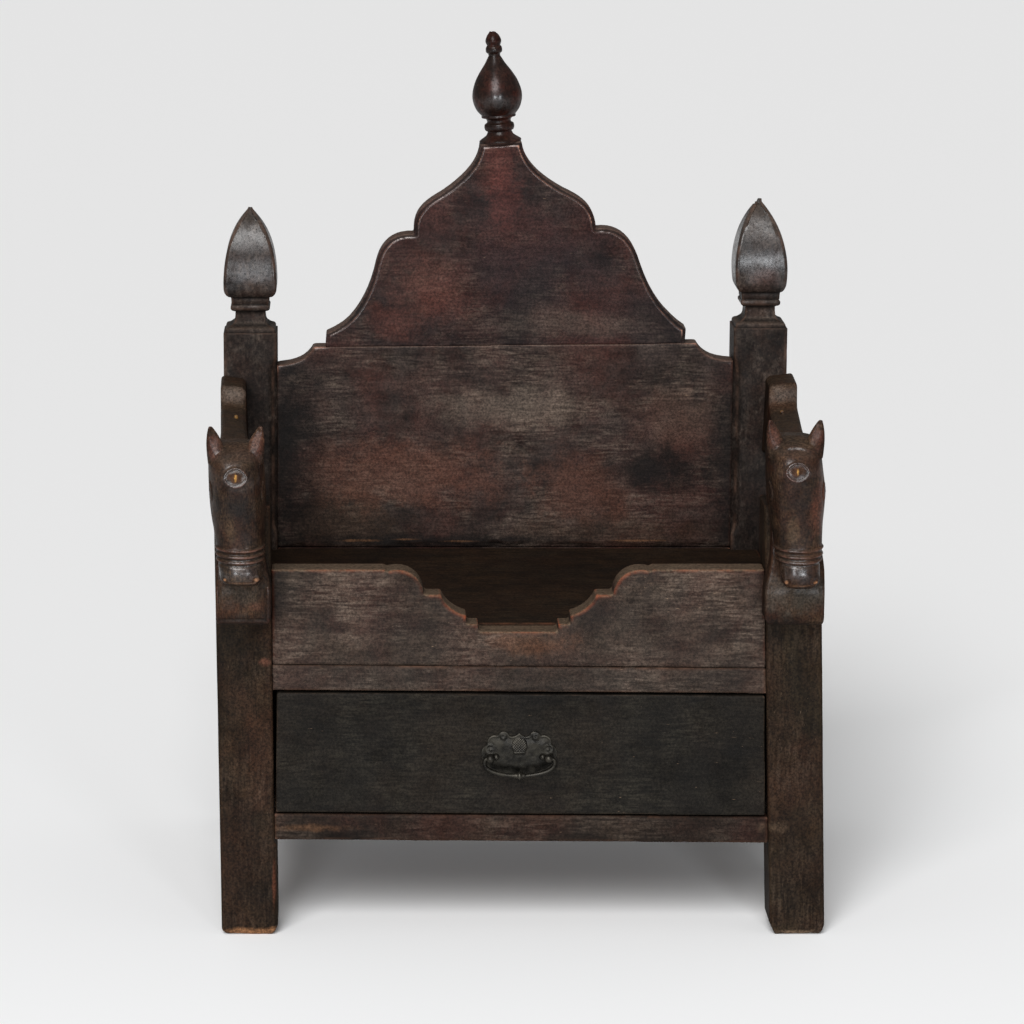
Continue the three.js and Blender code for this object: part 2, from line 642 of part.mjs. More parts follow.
function pullBail() {
  const at = (x, z) => new THREE.Vector3(x, 0, z);
  const { half, drop } = BAIL;
  const start = half - 5.4;
  const side = (s) => [
    new THREE.LineCurve3(at(s * (PULL.studs - 3), 0), at(s * start, 0)),
    new THREE.QuadraticBezierCurve3(at(s * start, 0), at(s * half, 0), at(s * half, -5.4)),
    new THREE.CubicBezierCurve3(at(s * half, -5.4), at(s * half, -20), at(s * 24, -drop), at(0, -drop)),
  ].flatMap((curve, i) => curve.getPoints([1, 4, 9][i]).slice(i ? 1 : 0));
  const line = [...side(-1), ...side(1).reverse().slice(1)];
  const rings = line.map((point, i) => {
    const ahead = line[Math.min(i + 1, line.length - 1)];
    const behind = line[Math.max(i - 1, 0)];
    const along = ahead.clone().sub(behind).normalize();
    const sideways = new THREE.Vector3(0, 1, 0);
    const up = new THREE.Vector3().crossVectors(along, sideways);
    return Array.from({ length: 8 }, (_, k) => {
      const angle = (k / 8) * 2 * Math.PI;
      return point
        .clone()
        .addScaledVector(sideways, BAIL.rod * Math.cos(angle))
        .addScaledVector(up, BAIL.rod * Math.sin(angle));
    });
  });
  const knopProfile = [[0, -5], [3.4, -5], [4.6, -2.5], [BAIL.knop, 0], [4.6, 2.5], [3.4, 5], [0, 5]];
  const knop = new THREE.LatheGeometry(knopProfile.map((p) => new THREE.Vector2(...p)), 12);
  knop.rotateZ(-Math.PI / 2).translate(0, 0, -drop);
  return geometryOf(joined([loft(rings), knop])).translate(PULL.x, PIVOT_Y, PULL.pivotZ);
}

// The whole throne
for (const side of SIDES) {
  piece(`front_leg_${side.name}`, frontLeg(side), materials.frame);
  piece(`back_post_${side.name}`, backPost(side), materials.carved);
  piece(`arm_${side.name}`, arm(side), materials.carved);
  piece(`side_board_${side.name}`, sideBoard(side), materials.frame);
  piece(`drawer_runner_${side.name}`, runner(side), materials.drawerBox);
}
piece("crest_board", crestBoard(), materials.back);
piece("lower_back_board", lowerBackBoard(), materials.back);
piece("rear_board", rearBoard(), materials.back);
const crestFinial = piece("crest_finial", finial(), materials.carved);
const crestMiddle = drift(CREST_TOP);
crestFinial.position.set(
  crestMiddle,
  (BOARD_FRONT + BOARD_BACK) / 2,
  CREST_TOP + BACK_RACK * crestMiddle + 2 * GAP,
);
crestFinial.rotation.y = -FINIAL_LEAN;
piece("apron", apron(), materials.frame);
piece("drawer_rail", rail(DRAWER_BAY_TOP, APRON[0]), materials.frame);
piece("bottom_rail", rail(...BOTTOM_RAIL), materials.frame);
piece("seat_board", seatBoard(), materials.seat);
throne.add(drawer());
piece("pull_plate", pullPlate(), materials.metal);
piece("pull_stud_left", pullStud(-1), materials.metal);
piece("pull_stud_right", pullStud(1), materials.metal);
piece("pull_bail", pullBail(), materials.metal);

export default throne;
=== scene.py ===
"""Looks of the carved throne: weathered boards, carved arms and posts, drawer and pull.

Metres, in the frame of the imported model. The sitter faces -Y; left is the viewer's left, at -X.
Places inside the carving functions are in millimetres.
"""
import json
import math

import bmesh
import bpy
import numpy as np
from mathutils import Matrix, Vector

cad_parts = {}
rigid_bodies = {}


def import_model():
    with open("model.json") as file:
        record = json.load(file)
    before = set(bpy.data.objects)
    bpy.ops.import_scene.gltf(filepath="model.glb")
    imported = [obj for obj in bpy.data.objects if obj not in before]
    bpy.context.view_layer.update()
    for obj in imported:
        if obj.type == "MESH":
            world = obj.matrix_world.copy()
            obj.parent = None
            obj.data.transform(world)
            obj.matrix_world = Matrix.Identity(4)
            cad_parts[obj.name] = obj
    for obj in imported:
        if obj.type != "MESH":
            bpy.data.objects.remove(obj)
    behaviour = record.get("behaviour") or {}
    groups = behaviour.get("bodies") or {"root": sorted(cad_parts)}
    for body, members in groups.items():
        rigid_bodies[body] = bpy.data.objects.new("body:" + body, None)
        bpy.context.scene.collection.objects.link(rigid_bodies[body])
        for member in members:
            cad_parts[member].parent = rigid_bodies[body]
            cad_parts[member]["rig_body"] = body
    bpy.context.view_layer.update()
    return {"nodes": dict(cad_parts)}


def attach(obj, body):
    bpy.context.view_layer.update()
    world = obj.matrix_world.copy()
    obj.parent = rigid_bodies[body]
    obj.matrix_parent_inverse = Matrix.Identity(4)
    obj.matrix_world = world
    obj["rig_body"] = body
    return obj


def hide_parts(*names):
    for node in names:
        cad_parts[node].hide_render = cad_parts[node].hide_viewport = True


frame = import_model()

MM = 0.001
scene = bpy.context.scene

# Places that the carving needs, in millimetres, the same as in the solids
LEG_FRONT = -281.0
POST = 82.0
POST_FRONT = 295.0
POST_INNER = 350.0
POST_X = 391.0
BOARD_FRONT = 309.0
FRONT_FACE = -278.0
POST_CAP = 789.0
BACK_RACK = 0.01
CREST_TOP = 1076.0
CREST_SHIFT = -8.6
SEAT_TOP = 448.0
ARM_BOTTOM = 628.0
MUZZLE_Z = 545.0
SIDES = {
    "left": dict(
        sign=-1, head_x=391.0, head_lean=0.045, poll=0.0, chin=0.0, block=(349.0, 427.0),
        arm_x=414.5, arm_half=21.0, bud=137.0, bud_taper=0.04, bud_peak=0.2, bud_tip=3.2, bud_drift=0.0,
        muzzle=1.0, nail=372.0, bead=1.0, brow=0.2, cheek=0.0, arm_top=0.0,
    ),
    "right": dict(
        sign=1, head_x=390.2, head_lean=-0.06, poll=9.0, chin=4.0, block=(344.0, 428.0),
        arm_x=418.5, arm_half=23.0, bud=142.0, bud_taper=0.1, bud_peak=0.4, bud_tip=5.0, bud_drift=-4.0,
        muzzle=0.92, nail=414.0, bead=0.3, brow=1.0, cheek=2.6, arm_top=4.0,
    ),
}


# Mesh tools


def lattice_noise(points, size, seed):
    """Smooth noise from -1 to 1 at points (n, 3), with features about size across."""
    q = points / size + seed * 17.31
    cell = np.floor(q)
    t = q - cell
    t = t * t * (3 - 2 * t)
    total = np.zeros(len(points))
    for corner in np.ndindex(2, 2, 2):
        c = cell + corner
        h = np.sin(c @ np.array([127.1, 311.7, 74.7])) * 43758.5453
        share = np.prod(np.where(np.array(corner) == 1, t, 1 - t), axis=1)
        total += share * (h - np.floor(h))
    return 2 * total - 1


def rough_noise(points, size, seed, octaves=3):
    """Several layers of lattice noise, each half the size and strength of the last."""
    layers = [lattice_noise(points, size / 2**k, seed + k) / 2**k for k in range(octaves)]
    return sum(layers) / sum(1 / 2**k for k in range(octaves))


def new_object(name, mesh):
    piece = bpy.data.objects.new(name, mesh)
    scene.collection.objects.link(piece)
    return piece


def mesh_from(name, points, faces):
    mesh = bpy.data.meshes.new(name)
    mesh.from_pydata([tuple(p) for p in points], [], faces)
    mesh.validate()
    return mesh


def points_of(mesh):
    co = np.empty(len(mesh.vertices) * 3, np.float32)
    mesh.vertices.foreach_get("co", co)
    return co.reshape(-1, 3).astype(float)


def normals_of(mesh):
    no = np.empty(len(mesh.vertices) * 3, np.float32)
    mesh.vertex_normals.foreach_get("vector", no)
    return no.reshape(-1, 3).astype(float)


def edges_of(mesh):
    pairs = np.empty(len(mesh.edges) * 2, np.int32)
    mesh.edges.foreach_get("vertices", pairs)
    return pairs.reshape(-1, 2)


def set_points(mesh, co):
    mesh.vertices.foreach_set("co", co.astype(np.float32).ravel())
    mesh.update()


def relaxed(co, edges, rounds, share=0.5):
    """Points moved towards the mean of their neighbours."""
    a, b = edges[:, 0], edges[:, 1]
    count = np.bincount(a, minlength=len(co)) + np.bincount(b, minlength=len(co))
    count = np.maximum(count, 1)[:, None]
    for _ in range(rounds):
        total = np.stack(
            [
                np.bincount(a, co[b, k], len(co)) + np.bincount(b, co[a, k], len(co))
                for k in range(3)
            ],
            1,
        )
        co = co + share * (total / count - co)
    return co


def with_modifier(piece, kind, **settings):
    """Applies one modifier to a piece."""
    modifier = piece.modifiers.new(kind.lower(), kind)
    for key, value in settings.items():
        setattr(modifier, key, value)
    graph = bpy.context.evaluated_depsgraph_get()
    mesh = bpy.data.meshes.new_from_object(piece.evaluated_get(graph))
    piece.modifiers.clear()
    old = piece.data
    piece.data = mesh
    bpy.data.meshes.remove(old)
    return piece


def store(mesh, name, values):
    """Keeps one number per point, for the materials to read."""
    attribute = mesh.attributes.new(name, "FLOAT", "POINT")
    attribute.data.foreach_set("value", values.astype(np.float32))


def smoothstep(low, high, value):
    t = np.clip((value - low) / (high - low), 0, 1)
    return t * t * (3 - 2 * t)


def ridge(value, width):
    """1 at zero, falling away smoothly over a width on each side."""
    return np.exp(-((value / width) ** 2))


def copy_of(node, name):
    return new_object(name, frame["nodes"][node].data.copy())


def ease_edges(piece, size, chosen):
    """Rounds the sharp edges whose middles are chosen."""
    bm = bmesh.new()
    bm.from_mesh(piece.data)
    bmesh.ops.remove_doubles(bm, verts=bm.verts, dist=1e-5)
    bmesh.ops.dissolve_limit(bm, angle_limit=0.01, verts=bm.verts, edges=bm.edges)
    picked = [
        e
        for e in bm.edges
        if e.calc_face_angle(0) > 0.6 and chosen((e.verts[0].co + e.verts[1].co) / 2 / MM)
    ]
    bmesh.ops.bevel(bm, geom=picked, offset=size * MM, segments=3, affect="EDGES", profile=0.5)
    bmesh.ops.triangulate(bm, faces=bm.faces)
    bm.to_mesh(piece.data)
    bm.free()


def weathered(
    piece, voxel, soften=2, chips=0.0, wave=0.0, seed=1,
    shape=None, open_to_hands=None, painted_shade=None, faces=40000,
):
    """Turns a piece into an even skin, wears its arrises, and notes where they and its hollows are.

    Sizes are in millimetres. shape(points, normals) may carve the skin before it is worn,
    open_to_hands(points) says how much of the rubbing each point gets, and the function after it says where
    shade is painted, by adding to the hollow mark.
    """
    with_modifier(piece, "REMESH", mode="VOXEL", voxel_size=voxel * MM, adaptivity=0.0)
    mesh = piece.data
    edges = edges_of(mesh)
    co = points_of(mesh) / MM
    if shape:
        co = relaxed(co, edges, 1)
        set_points(mesh, co * MM)
        co = shape(co, normals_of(mesh))
    co = relaxed(co, edges, soften)
    set_points(mesh, co * MM)
    normals = normals_of(mesh)
    reach = max(3, round(10 / voxel))
    bulge = ((co - relaxed(co, edges, reach)) * normals).sum(1) / math.sqrt(reach) / voxel
    arris = smoothstep(0.03, 0.2, bulge)
    # the hollow mark, which the materials darken as painted shade
    hollow = smoothstep(0.03, 0.3, -bulge)
    if chips:
        bite = smoothstep(0.25, 0.8, rough_noise(co, 26, seed)) * arris
        nick = smoothstep(0.45, 0.8, lattice_noise(co, 7, seed + 5)) * arris
        co = co - normals * (chips * (bite + 0.6 * nick))[:, None]
    if wave:
        co = co + normals * (wave * rough_noise(co, 60, seed + 3, 2))[:, None]
    set_points(mesh, co * MM)
    if open_to_hands:
        arris = np.clip(arris * open_to_hands(co), 0, 1)
    # painted shade: the chosen places join the hollow mark, which the material darkens
    if painted_shade:
        hollow = np.maximum(hollow, painted_shade(co))
    store(mesh, "arris", arris)
    store(mesh, "hollow", hollow)
    count = sum(len(p.vertices) - 2 for p in mesh.polygons)
    if count > faces:
        with_modifier(piece, "DECIMATE", ratio=faces / count)
    piece.data.shade_smooth()
    return piece


def lofted(rings):
    """A closed skin over equal rings of points."""
    count = len(rings[0])
    points = np.concatenate(rings)
    faces = []
    for i in range(len(rings) - 1):
        for j in range(count):
            k = (j + 1) % count
            a, b = i * count + j, i * count + k
            faces.append((a, b, b + count, a + count))
    last = (len(rings) - 1) * count
    faces.append(tuple(range(count - 1, -1, -1)))
    faces.append(tuple(range(last, last + count)))
    return points, faces


def joined(name, parts):
    """One object from several (points, faces) parts, which may run into each other."""
    points, faces, start = [], [], 0
    for co, polygons in parts:
        points.append(np.asarray(co, float))
        faces += [tuple(i + start for i in polygon) for polygon in polygons]
        start += len(co)
    return new_object(name, mesh_from(name, np.concatenate(points) * MM, faces))


def rounded_rectangle(half_wide, half_high, radius, per_corner):
    points = []
    for corner, (sx, sy) in enumerate(((1, 1), (-1, 1), (-1, -1), (1, -1))):
        for k in range(per_corner):
            angle = (corner + k / (per_corner - 1)) * math.pi / 2
            u = sx * (half_wide - radius) + radius * math.cos(angle)
            points.append((u, sy * (half_high - radius) + radius * math.sin(angle)))
    return np.array(points)


def level_ring(outline, x, y, z):
    return np.column_stack([x + outline[:, 0], y + outline[:, 1], np.full(len(outline), z)])


def spline(knots, values, places):
    """A smooth line through values at knots, read at places."""
    knots, values = np.asarray(knots, float), np.asarray(values, float)
    slope = np.gradient(values, knots)
    i = np.clip(np.searchsorted(knots, places) - 1, 0, len(knots) - 2)
    h = knots[i + 1] - knots[i]
    t = (places - knots[i]) / h
    a = (1 + 2 * t) * (1 - t) ** 2 * values[i] + t * (1 - t) ** 2 * h * slope[i]
    return a + t * t * (3 - 2 * t) * values[i + 1] + t * t * (t - 1) * h * slope[i + 1]


def circle(count):
    turn = np.arange(count) * 2 * math.pi / count
    return np.cos(turn), np.sin(turn)


def ball(centre, radii, rows=16, around=24):
    c, s = circle(around)
    rings = []
    for i in range(1, rows):
        angle = math.pi * i / rows
        level = np.full(around, -math.cos(angle))
        ring = np.column_stack([c * math.sin(angle), s * math.sin(angle), level])
        rings.append(ring * radii + centre)
    return lofted(rings)


def finish(piece, node, finish_name):
    """Puts a piece in the place of a node, with its material."""
    piece.data.materials.clear()
    piece.data.materials.append(FINISHES[finish_name])
    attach(piece, frame["nodes"][node]["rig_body"])
    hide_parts(node)
    return piece


# Posts: a straight shaft with a stopped chamfer, a moulded cap and a four-sided bud

CAP_LINE = [
    # height above the ledge, half width, how much of an arris it is
    (-2.5, 41, 0.0), (-0.6, 41, 0.6), (0, 40.6, 1.0), (0.4, 39.2, 0.2), (0.6, 38.2, 0.0), (1.4, 38.5, 0.2),
    (4.4, 38.3, 0.3), (6.6, 37.2, 0.5), (8, 35, 0.5), (9, 32, 0.2), (10.5, 29.6, 0.0), (12.5, 27.2, 0.0),
    (14.5, 25, 0.0), (18, 23.6, 0.1), (25, 23, 0.1), (31.4, 22.8, 0.0), (32.2, 25, 0.0),
    (33, 27.2, 0.1), (34.2, 28.9, 0.4), (36, 30, 0.8), (38, 30.3, 0.9), (40, 30, 0.8), (41.4, 29, 0.4),
    (42.1, 27.8, 0.0), (42.8, 27.8, 0.0), (43.4, 28.8, 0.2), (50, 29.1, 0.1), (52.6, 29.3, 0.0),
    (53.4, 29.6, 0.0),
]
CAP_QUIRKS = ((0.7, 1), (11, 2.4), (32, 1.2), (42.4, 1), (53.5, 2))  # height above the ledge, width
CAP_TALL = 54.0
CHAMFER = dict(wide=13.0, low=(462, 488), high=(722, 752))
FROM_CORNER = np.array([3.5, 7, 13, 14.5, 22, 31])


def square_ring(half, radius):
    """A square with round corners, with more points near the corners, and how much each is an arris."""
    radius = min(radius, half * 0.6)
    run = np.clip(FROM_CORNER * half / 41, radius, half)
    run = np.concatenate([run, [half], 2 * half - run[::-1]])
    arc = np.linspace(0, math.pi / 2, 5)[1:-1]
    points, arris = [], []
    for quarter in range(4):
        c, s = math.cos(quarter * math.pi / 2), math.sin(quarter * math.pi / 2)
        side = [(half, r - half) for r in run]
        bend = [(half - radius + radius * math.cos(t), half - radius + radius * math.sin(t)) for t in arc]
        points += [(c * x - s * y, s * x + c * y) for x, y in side + bend]
        arris += [0.7] + [0.0] * (len(run) - 2) + [0.7] + [1.0] * len(bend)
    return np.array(points), np.array(arris)


def bud_half(at, share):
    """Half width of a bud at a share of its height: drawn in below its widest place and to its tip."""
    foot = 1 - at["bud_taper"] * (1 - min(1, share / at["bud_peak"])) ** 2
    body = 41 * foot * (1 - share**3) ** 0.95
    if share < 0.1:
        body = 30 + (body - 30) * math.sqrt(1 - (1 - share / 0.1) ** 2)
    return max(at["bud_tip"], body)


def back_post(side):
    at = SIDES[side]
    sign = at["sign"]
    x, y = sign * POST_X, POST_FRONT + POST / 2
    cap = POST_CAP + BACK_RACK * x
    rows = [(0, 37, 3, 0.5, 0), (2, 40, 3, 0.5, 0), (6, 41, 3.5, 0, 0)]
    rows += [(z, 41, 3.5, 0, 0) for z in np.arange(10, cap - 4, 4)]
    rows += [(cap + height, half, 2.2, rim, 0) for height, half, rim in CAP_LINE]
    for i in range(71):
        share = (i / 70) ** 1.2
        rows.append((cap + CAP_TALL + share * at["bud"], bud_half(at, share), 4 + 2 * share, 0, share**2))
    rings, arris = [], []
    for z, half, radius, rim, drift in rows:
        outline, corner = square_ring(half, radius)
        rings.append(level_ring(outline, x + at["bud_drift"] * drift, y, z))
        arris.append(np.maximum(corner, rim))
    points, faces = lofted(rings)
    arris = np.concatenate(arris)

    inward = sign * points[:, 0] - POST_INNER
    back = points[:, 1] - POST_FRONT
    z = points[:, 2]
    run = smoothstep(*CHAMFER["low"], z) * (1 - smoothstep(*CHAMFER["high"], z)) ** 0.5
    over = np.clip(CHAMFER["wide"] * run - inward - back, 0, None) / 2
    over[(inward > 30) | (back > 30) | (z > 760)] = 0
    points[:, 0] += sign * over
    points[:, 1] += over

    tip = cap + CAP_TALL + at["bud"]
    if side == "right":
        notch = smoothstep(0, -3, points[:, 0] - x - at["bud_drift"] - 0.5)
        notch = notch * smoothstep(tip - 9, tip - 4, z)
        points[:, 2] -= 6 * notch
    points[:, 2] -= smoothstep(tip - 1, tip, z) * (1 + lattice_noise(points, 4, 5))

    piece = joined(f"back_post_{side}_carved", [(points, faces)])
    mesh = piece.data
    normals = normals_of(mesh)
    bite = smoothstep(0.25, 0.8, rough_noise(points, 26, 11 + sign)) * arris
    points = points - normals * (0.9 * bite + 0.25 * rough_noise(points, 50, 15 + sign, 2))[:, None]
    set_points(mesh, points * MM)
    height = z - cap
    # the cap's quirks go in the hollow mark, which the material darkens as painted shade
    quirk = sum(ridge(height - level, wide) for level, wide in CAP_QUIRKS)
    store(mesh, "arris", arris * smoothstep(-0.7, 0.2, normals[:, 2] + 0.7))
    store(mesh, "hollow", np.clip(quirk, 0, 1))
    mesh.shade_smooth()
    return finish(piece, f"back_post_{side}", "post")


# Turned finial

FINIAL_LEAN = math.radians(4.4)
FINIAL_LINE = [
    [(32, 0), (31.6, 2.5), (27.4, 5.6), (21, 10.2), (18.4, 15.2)],
    [(18.4, 16), (21.6, 18), (22.9, 22.6), (21.9, 27), (18.6, 29.3)],
    [(18.4, 30), (18.2, 32.5), (20.4, 35.6), (25.6, 37.2)],
    [(26.2, 38), (26.2, 40)],
    [(25.6, 40.6), (33, 50), (37.4, 63), (37.4, 76), (32.5, 92), (24.7, 106), (15.7, 119), (8.8, 131)],
    [(8.9, 132), (9.4, 134), (12.1, 136.6), (12.6, 140.3), (11.9, 144), (10.2, 146.2)],
    [(10.2, 147), (12.1, 153.5), (9.0, 162), (4.2, 168.6)],
]


def crest_finial():
    line = []
    for stretch in FINIAL_LINE:
        radii, heights = zip(*stretch)
        knots = np.arange(len(stretch))
        places = np.linspace(0, len(stretch) - 1, 1 + 8 * (len(stretch) - 1))
        line += list(zip(spline(knots, radii, places), spline(knots, heights, places)))
    c, s = circle(96)
    rings = [np.column_stack([c * r, s * r, np.full(96, h)]) for r, h in line]
    points, faces = lofted(rings)
    broken = smoothstep(158, 170, points[:, 2])
    points[:, 2] -= broken * (1.6 + 2.2 * lattice_noise(points, 6, 3))
    lean_c, lean_s = math.cos(FINIAL_LEAN), math.sin(FINIAL_LEAN)
    leaning = points.copy()
    leaning[:, 0] = points[:, 0] * lean_c - points[:, 2] * lean_s
    leaning[:, 2] = points[:, 0] * lean_s + points[:, 2] * lean_c
    foot = np.array([CREST_SHIFT, BOARD_FRONT + 22.5, CREST_TOP + BACK_RACK * CREST_SHIFT + 0.6])
    piece = joined("crest_finial_turned", [(leaning + foot, faces)])
    mesh = piece.data
    edges = edges_of(mesh)
    co = points_of(mesh) / MM
    bulge = ((co - relaxed(co, edges, 6)) * normals_of(mesh)).sum(1)
    store(mesh, "arris", smoothstep(0.15, 0.9, bulge))
    # hollows go in the hollow mark, which the material darkens as painted shade
    store(mesh, "hollow", smoothstep(0.1, 0.7, -bulge))
    mesh.shade_smooth()
    return finish(piece, "crest_finial", "finial")


# Boards and legs


def board(
    node, finish_name, voxel, ease=None, shape=None, chips=1.0, wave=0.3, seed=1,
    faces=30000, open_to_hands=None, painted_shade=None,
):
    """A weathered copy of a flat piece. ease is a rounding's size and the rule that picks its edges."""
    piece = copy_of(node, f"{node}_worn")
    if ease:
        ease_edges(piece, *ease)
    weathered(piece, voxel, 1, chips, wave, seed, shape, open_to_hands, painted_shade, faces)
    return finish(piece, node, finish_name)


def front_outline(node, low):
    """The lines round the front face of a node above a height, across and up."""
    bm = bmesh.new()
    bm.from_mesh(frame["nodes"][node].data)
    bmesh.ops.remove_doubles(bm, verts=bm.verts, dist=1e-5)
    lines = []
    for edge in bm.edges:
        front = [face.normal.y < -0.9 for face in edge.link_faces]
        line = [(v.co.x / MM, v.co.z / MM) for v in edge.verts]
        if any(front) and not all(front) and max(z for _, z in line) > low:
            lines.append(line)
    bm.free()
    return np.array(lines)


ABOVE_JOINT = 770.0  # clear of the place where the crest stands on the lower board
QUIRK_IN = 6.0  # from the crest's outline to the quirk along it


def boards():
    crest_line = front_outline("crest_board", ABOVE_JOINT + 6)

    def crest_edge(co):
        """Distance from the crest's outline, on its front, and far off elsewhere."""
        edge = np.full(len(co), 99.0)
        front = (co[:, 1] < BOARD_FRONT + 4) & (co[:, 2] > ABOVE_JOINT)
        edge[front] = away_from(co[front][:, [0, 2]], crest_line[:, 0], crest_line[:, 1])
        return edge

    def crest_arris(middle):
        return middle.y < BOARD_FRONT + 1 and middle.z > ABOVE_JOINT + 4

    def cove_arris(middle):
        return middle.y < BOARD_FRONT + 1 and middle.z > 725 and abs(middle.x) > 278

    def apron_arris(middle):
        return middle.y < FRONT_FACE + 1 and middle.z > 440

    def above_joint(co):
        return smoothstep(ABOVE_JOINT + 4, ABOVE_JOINT + 14, co[:, 2])

    # the bright line along the quirk: worn colour with a painted highlight, from the rubbing mask
    def crest_quirk(co):
        return 2.5 * ridge(crest_edge(unracked(co)) - QUIRK_IN, 1.2) * above_joint(co)

    # painted shade: the shadow of the quirk's step, a dark band on the sunk rounding outside the bright
    # line
    def crest_step_shade(co):
        return ridge(crest_edge(unracked(co)) - QUIRK_IN + 2.6, 1.6) * above_joint(co)

    def cove_only(co):
        return np.maximum(0.15, smoothstep(715, 730, co[:, 2]) * smoothstep(265, 285, np.abs(co[:, 0])))

    def top_edge(co):
        return smoothstep(400, 412, co[:, 2]) * np.maximum(0.3, smoothstep(342, 332, np.abs(co[:, 0])))

    def rack(co):
        part = smoothstep(ABOVE_JOINT + 2, ABOVE_JOINT + 42, co[:, 2]) * smoothstep(1070, 980, co[:, 2])
        return np.outer(0.02 * (co[:, 0] - CREST_SHIFT) * part, (0, 0, 1))

    def unracked(co):
        return co - rack(co)

    def moulded(co, normals):
        """A rounded edge sunk below the face, and the foot let a little way into the board below."""
        co = co.copy()
        sunk = 1.5 * smoothstep(QUIRK_IN - 0.2, QUIRK_IN - 1.6, crest_edge(co))
        co[:, 1] += sunk * smoothstep(0.1, 0.6, -normals[:, 1])
        co[:, 2] -= 1.5 * smoothstep(ABOVE_JOINT + 8, ABOVE_JOINT + 3, co[:, 2])
        return co + rack(co)

    def tight_ends(co, normals):
        """Ends let a little way into the posts."""
        co = co.copy()
        co[:, 0] += 2.6 * np.sign(co[:, 0]) * smoothstep(POST_INNER - 5, POST_INNER - 1, np.abs(co[:, 0]))
        return co

    def ragged_foot(co, normals):
        along = co * (1, 0, 0)
        bite = np.clip(2.5 + 6 * rough_noise(along, 34, 4) + co[:, 0] * 0.004, 0, 8)
        height = 4 + 3 * rough_noise(along, 21, 9)
        foot = smoothstep(SEAT_TOP + height + 5, SEAT_TOP + height, co[:, 2])
        foot = foot * smoothstep(BOARD_FRONT + 8, BOARD_FRONT, co[:, 1])
        foot = foot * smoothstep(POST_INNER - 8, POST_INNER - 20, np.abs(co[:, 0]))
        co = tight_ends(co, normals)
        co[:, 1] += bite * foot
        return co

    board(
        "crest_board", "crest", 1.6, (3.4, crest_arris), moulded, chips=0.5, seed=2,
        faces=110000, open_to_hands=crest_quirk, painted_shade=crest_step_shade,
    )
    board(
        "lower_back_board", "lower_back", 2.5, (4, cove_arris), ragged_foot, seed=3,
        faces=55000, open_to_hands=cove_only,
    )
    board("rear_board", "rear", 3, shape=tight_ends, seed=4, faces=14000)
    board(
        "apron", "apron", 2.3, (4, apron_arris), chips=1.2, seed=5,
        faces=55000, open_to_hands=top_edge,
    )
    board("drawer_rail", "rail", 2.4, chips=0.8, seed=6, faces=20000)
    board("bottom_rail", "low_rail", 2.4, chips=1.0, seed=7, faces=20000)
    board("seat_board", "seat", 3, chips=0.6, seed=8, faces=24000)
    board("drawer_front", "drawer", 2.4, chips=0.7, wave=0.2, seed=9, faces=30000)
    for i, side in enumerate(SIDES):
        board(f"side_board_{side}", "side", 5, seed=12 + i, faces=12000)
        board(f"drawer_runner_{side}", "box", 4, chips=0.5, seed=61, faces=5000)
    for node in ("drawer_side_left", "drawer_side_right", "drawer_back", "drawer_bottom"):
        board(node, "box", 4, chips=0.5, seed=60, faces=8000)


def front_leg(side, seed, outer_chip, inner_chip, bevel, swell):
    """A leg whose foot has lost its corners. A chip is how far it goes in and up, at the foot.

    Under the bottom rail the inner face stands out by swell, and its arris is cut back by bevel.
    """
    sign = SIDES[side]["sign"]
    solid = points_of(frame["nodes"][f"front_leg_{side}"].data) / MM

    def worn_foot(co, normals):
        co = co.copy()
        z = co[:, 2]
        out = sign * solid[:, 0]
        foot, head = out[solid[:, 2] < 8], out[solid[:, 2] > ARM_BOTTOM - 8]
        edges = (foot.min(), foot.max(), head.min())
        share = np.clip(z / ARM_BOTTOM, 0, 1)
        face = edges[0] + (edges[2] - edges[0]) * share
        below = smoothstep(140, 130, z)
        co[:, 0] -= sign * swell * below * smoothstep(14, 2, sign * co[:, 0] - face)
        out = sign * co[:, 0]
        for edge, way, (wide, tall) in ((edges[0] - swell, 1, inner_chip), (edges[1], -1, outer_chip)):
            inside = way * (out - edge)
            ragged = 1 + 0.35 * rough_noise(co, 14, seed + way, 2)
            push = np.clip(wide * ragged * (1 - z / tall) - inside, 0, None) * (z < tall)
            push[inside > 20] = 0
            co[:, 0] += sign * way * push
        cut = (bevel - swell) * below - 20 * (1 - below)
        over = np.clip(cut - (sign * co[:, 0] - face) - (co[:, 1] - LEG_FRONT), 0, None) / 2
        over[co[:, 1] > LEG_FRONT + 20] = 0
        co[:, 0] += sign * over
        co[:, 1] += over
        co[:, 2] += smoothstep(5, 0, z) * np.clip(3 * rough_noise(co, 22, seed + 50), 0, 3)
        return co

    piece = copy_of(f"front_leg_{side}", f"front_leg_{side}_worn")
    weathered(piece, 2.4, 1, chips=1.2, wave=0.3, seed=seed, shape=worn_foot, faces=32000)
    return finish(piece, f"front_leg_{side}", f"leg_{side}")


# Arms with horses' heads

HEAD_SECTIONS = np.array([
    # height, front, back, half width, how much narrower the front is than the back
    (528, -77, -56, 19, 0.0), (532, -84, -50, 26, 0.02), (538, -87.5, -46, 29, 0.04),
    (546, -88.5, -42, 30, 0.05), (556, -86.5, -38, 30.5, 0.06), (570, -85.5, -34, 32.4, 0.07),
    (585, -84.5, -29, 33.2, 0.1), (604, -85.5, -18, 35, 0.14), (630, -89, -4, 37.8, 0.16),
    (655, -92, 4, 39, 0.14), (676, -92.6, 8, 39, 0.1), (692, -89.5, 8, 38.6, 0.07),
    (708, -79, 8, 37.6, 0.04), (719, -65, 4, 34, 0.0), (725, -51, -8, 24, 0.0), (727, -44, -16, 12, 0.0),
])
NOSEBAND = (560.0, 580.0)
POLL_Z, CHIN_Z = 700.0, 528.0


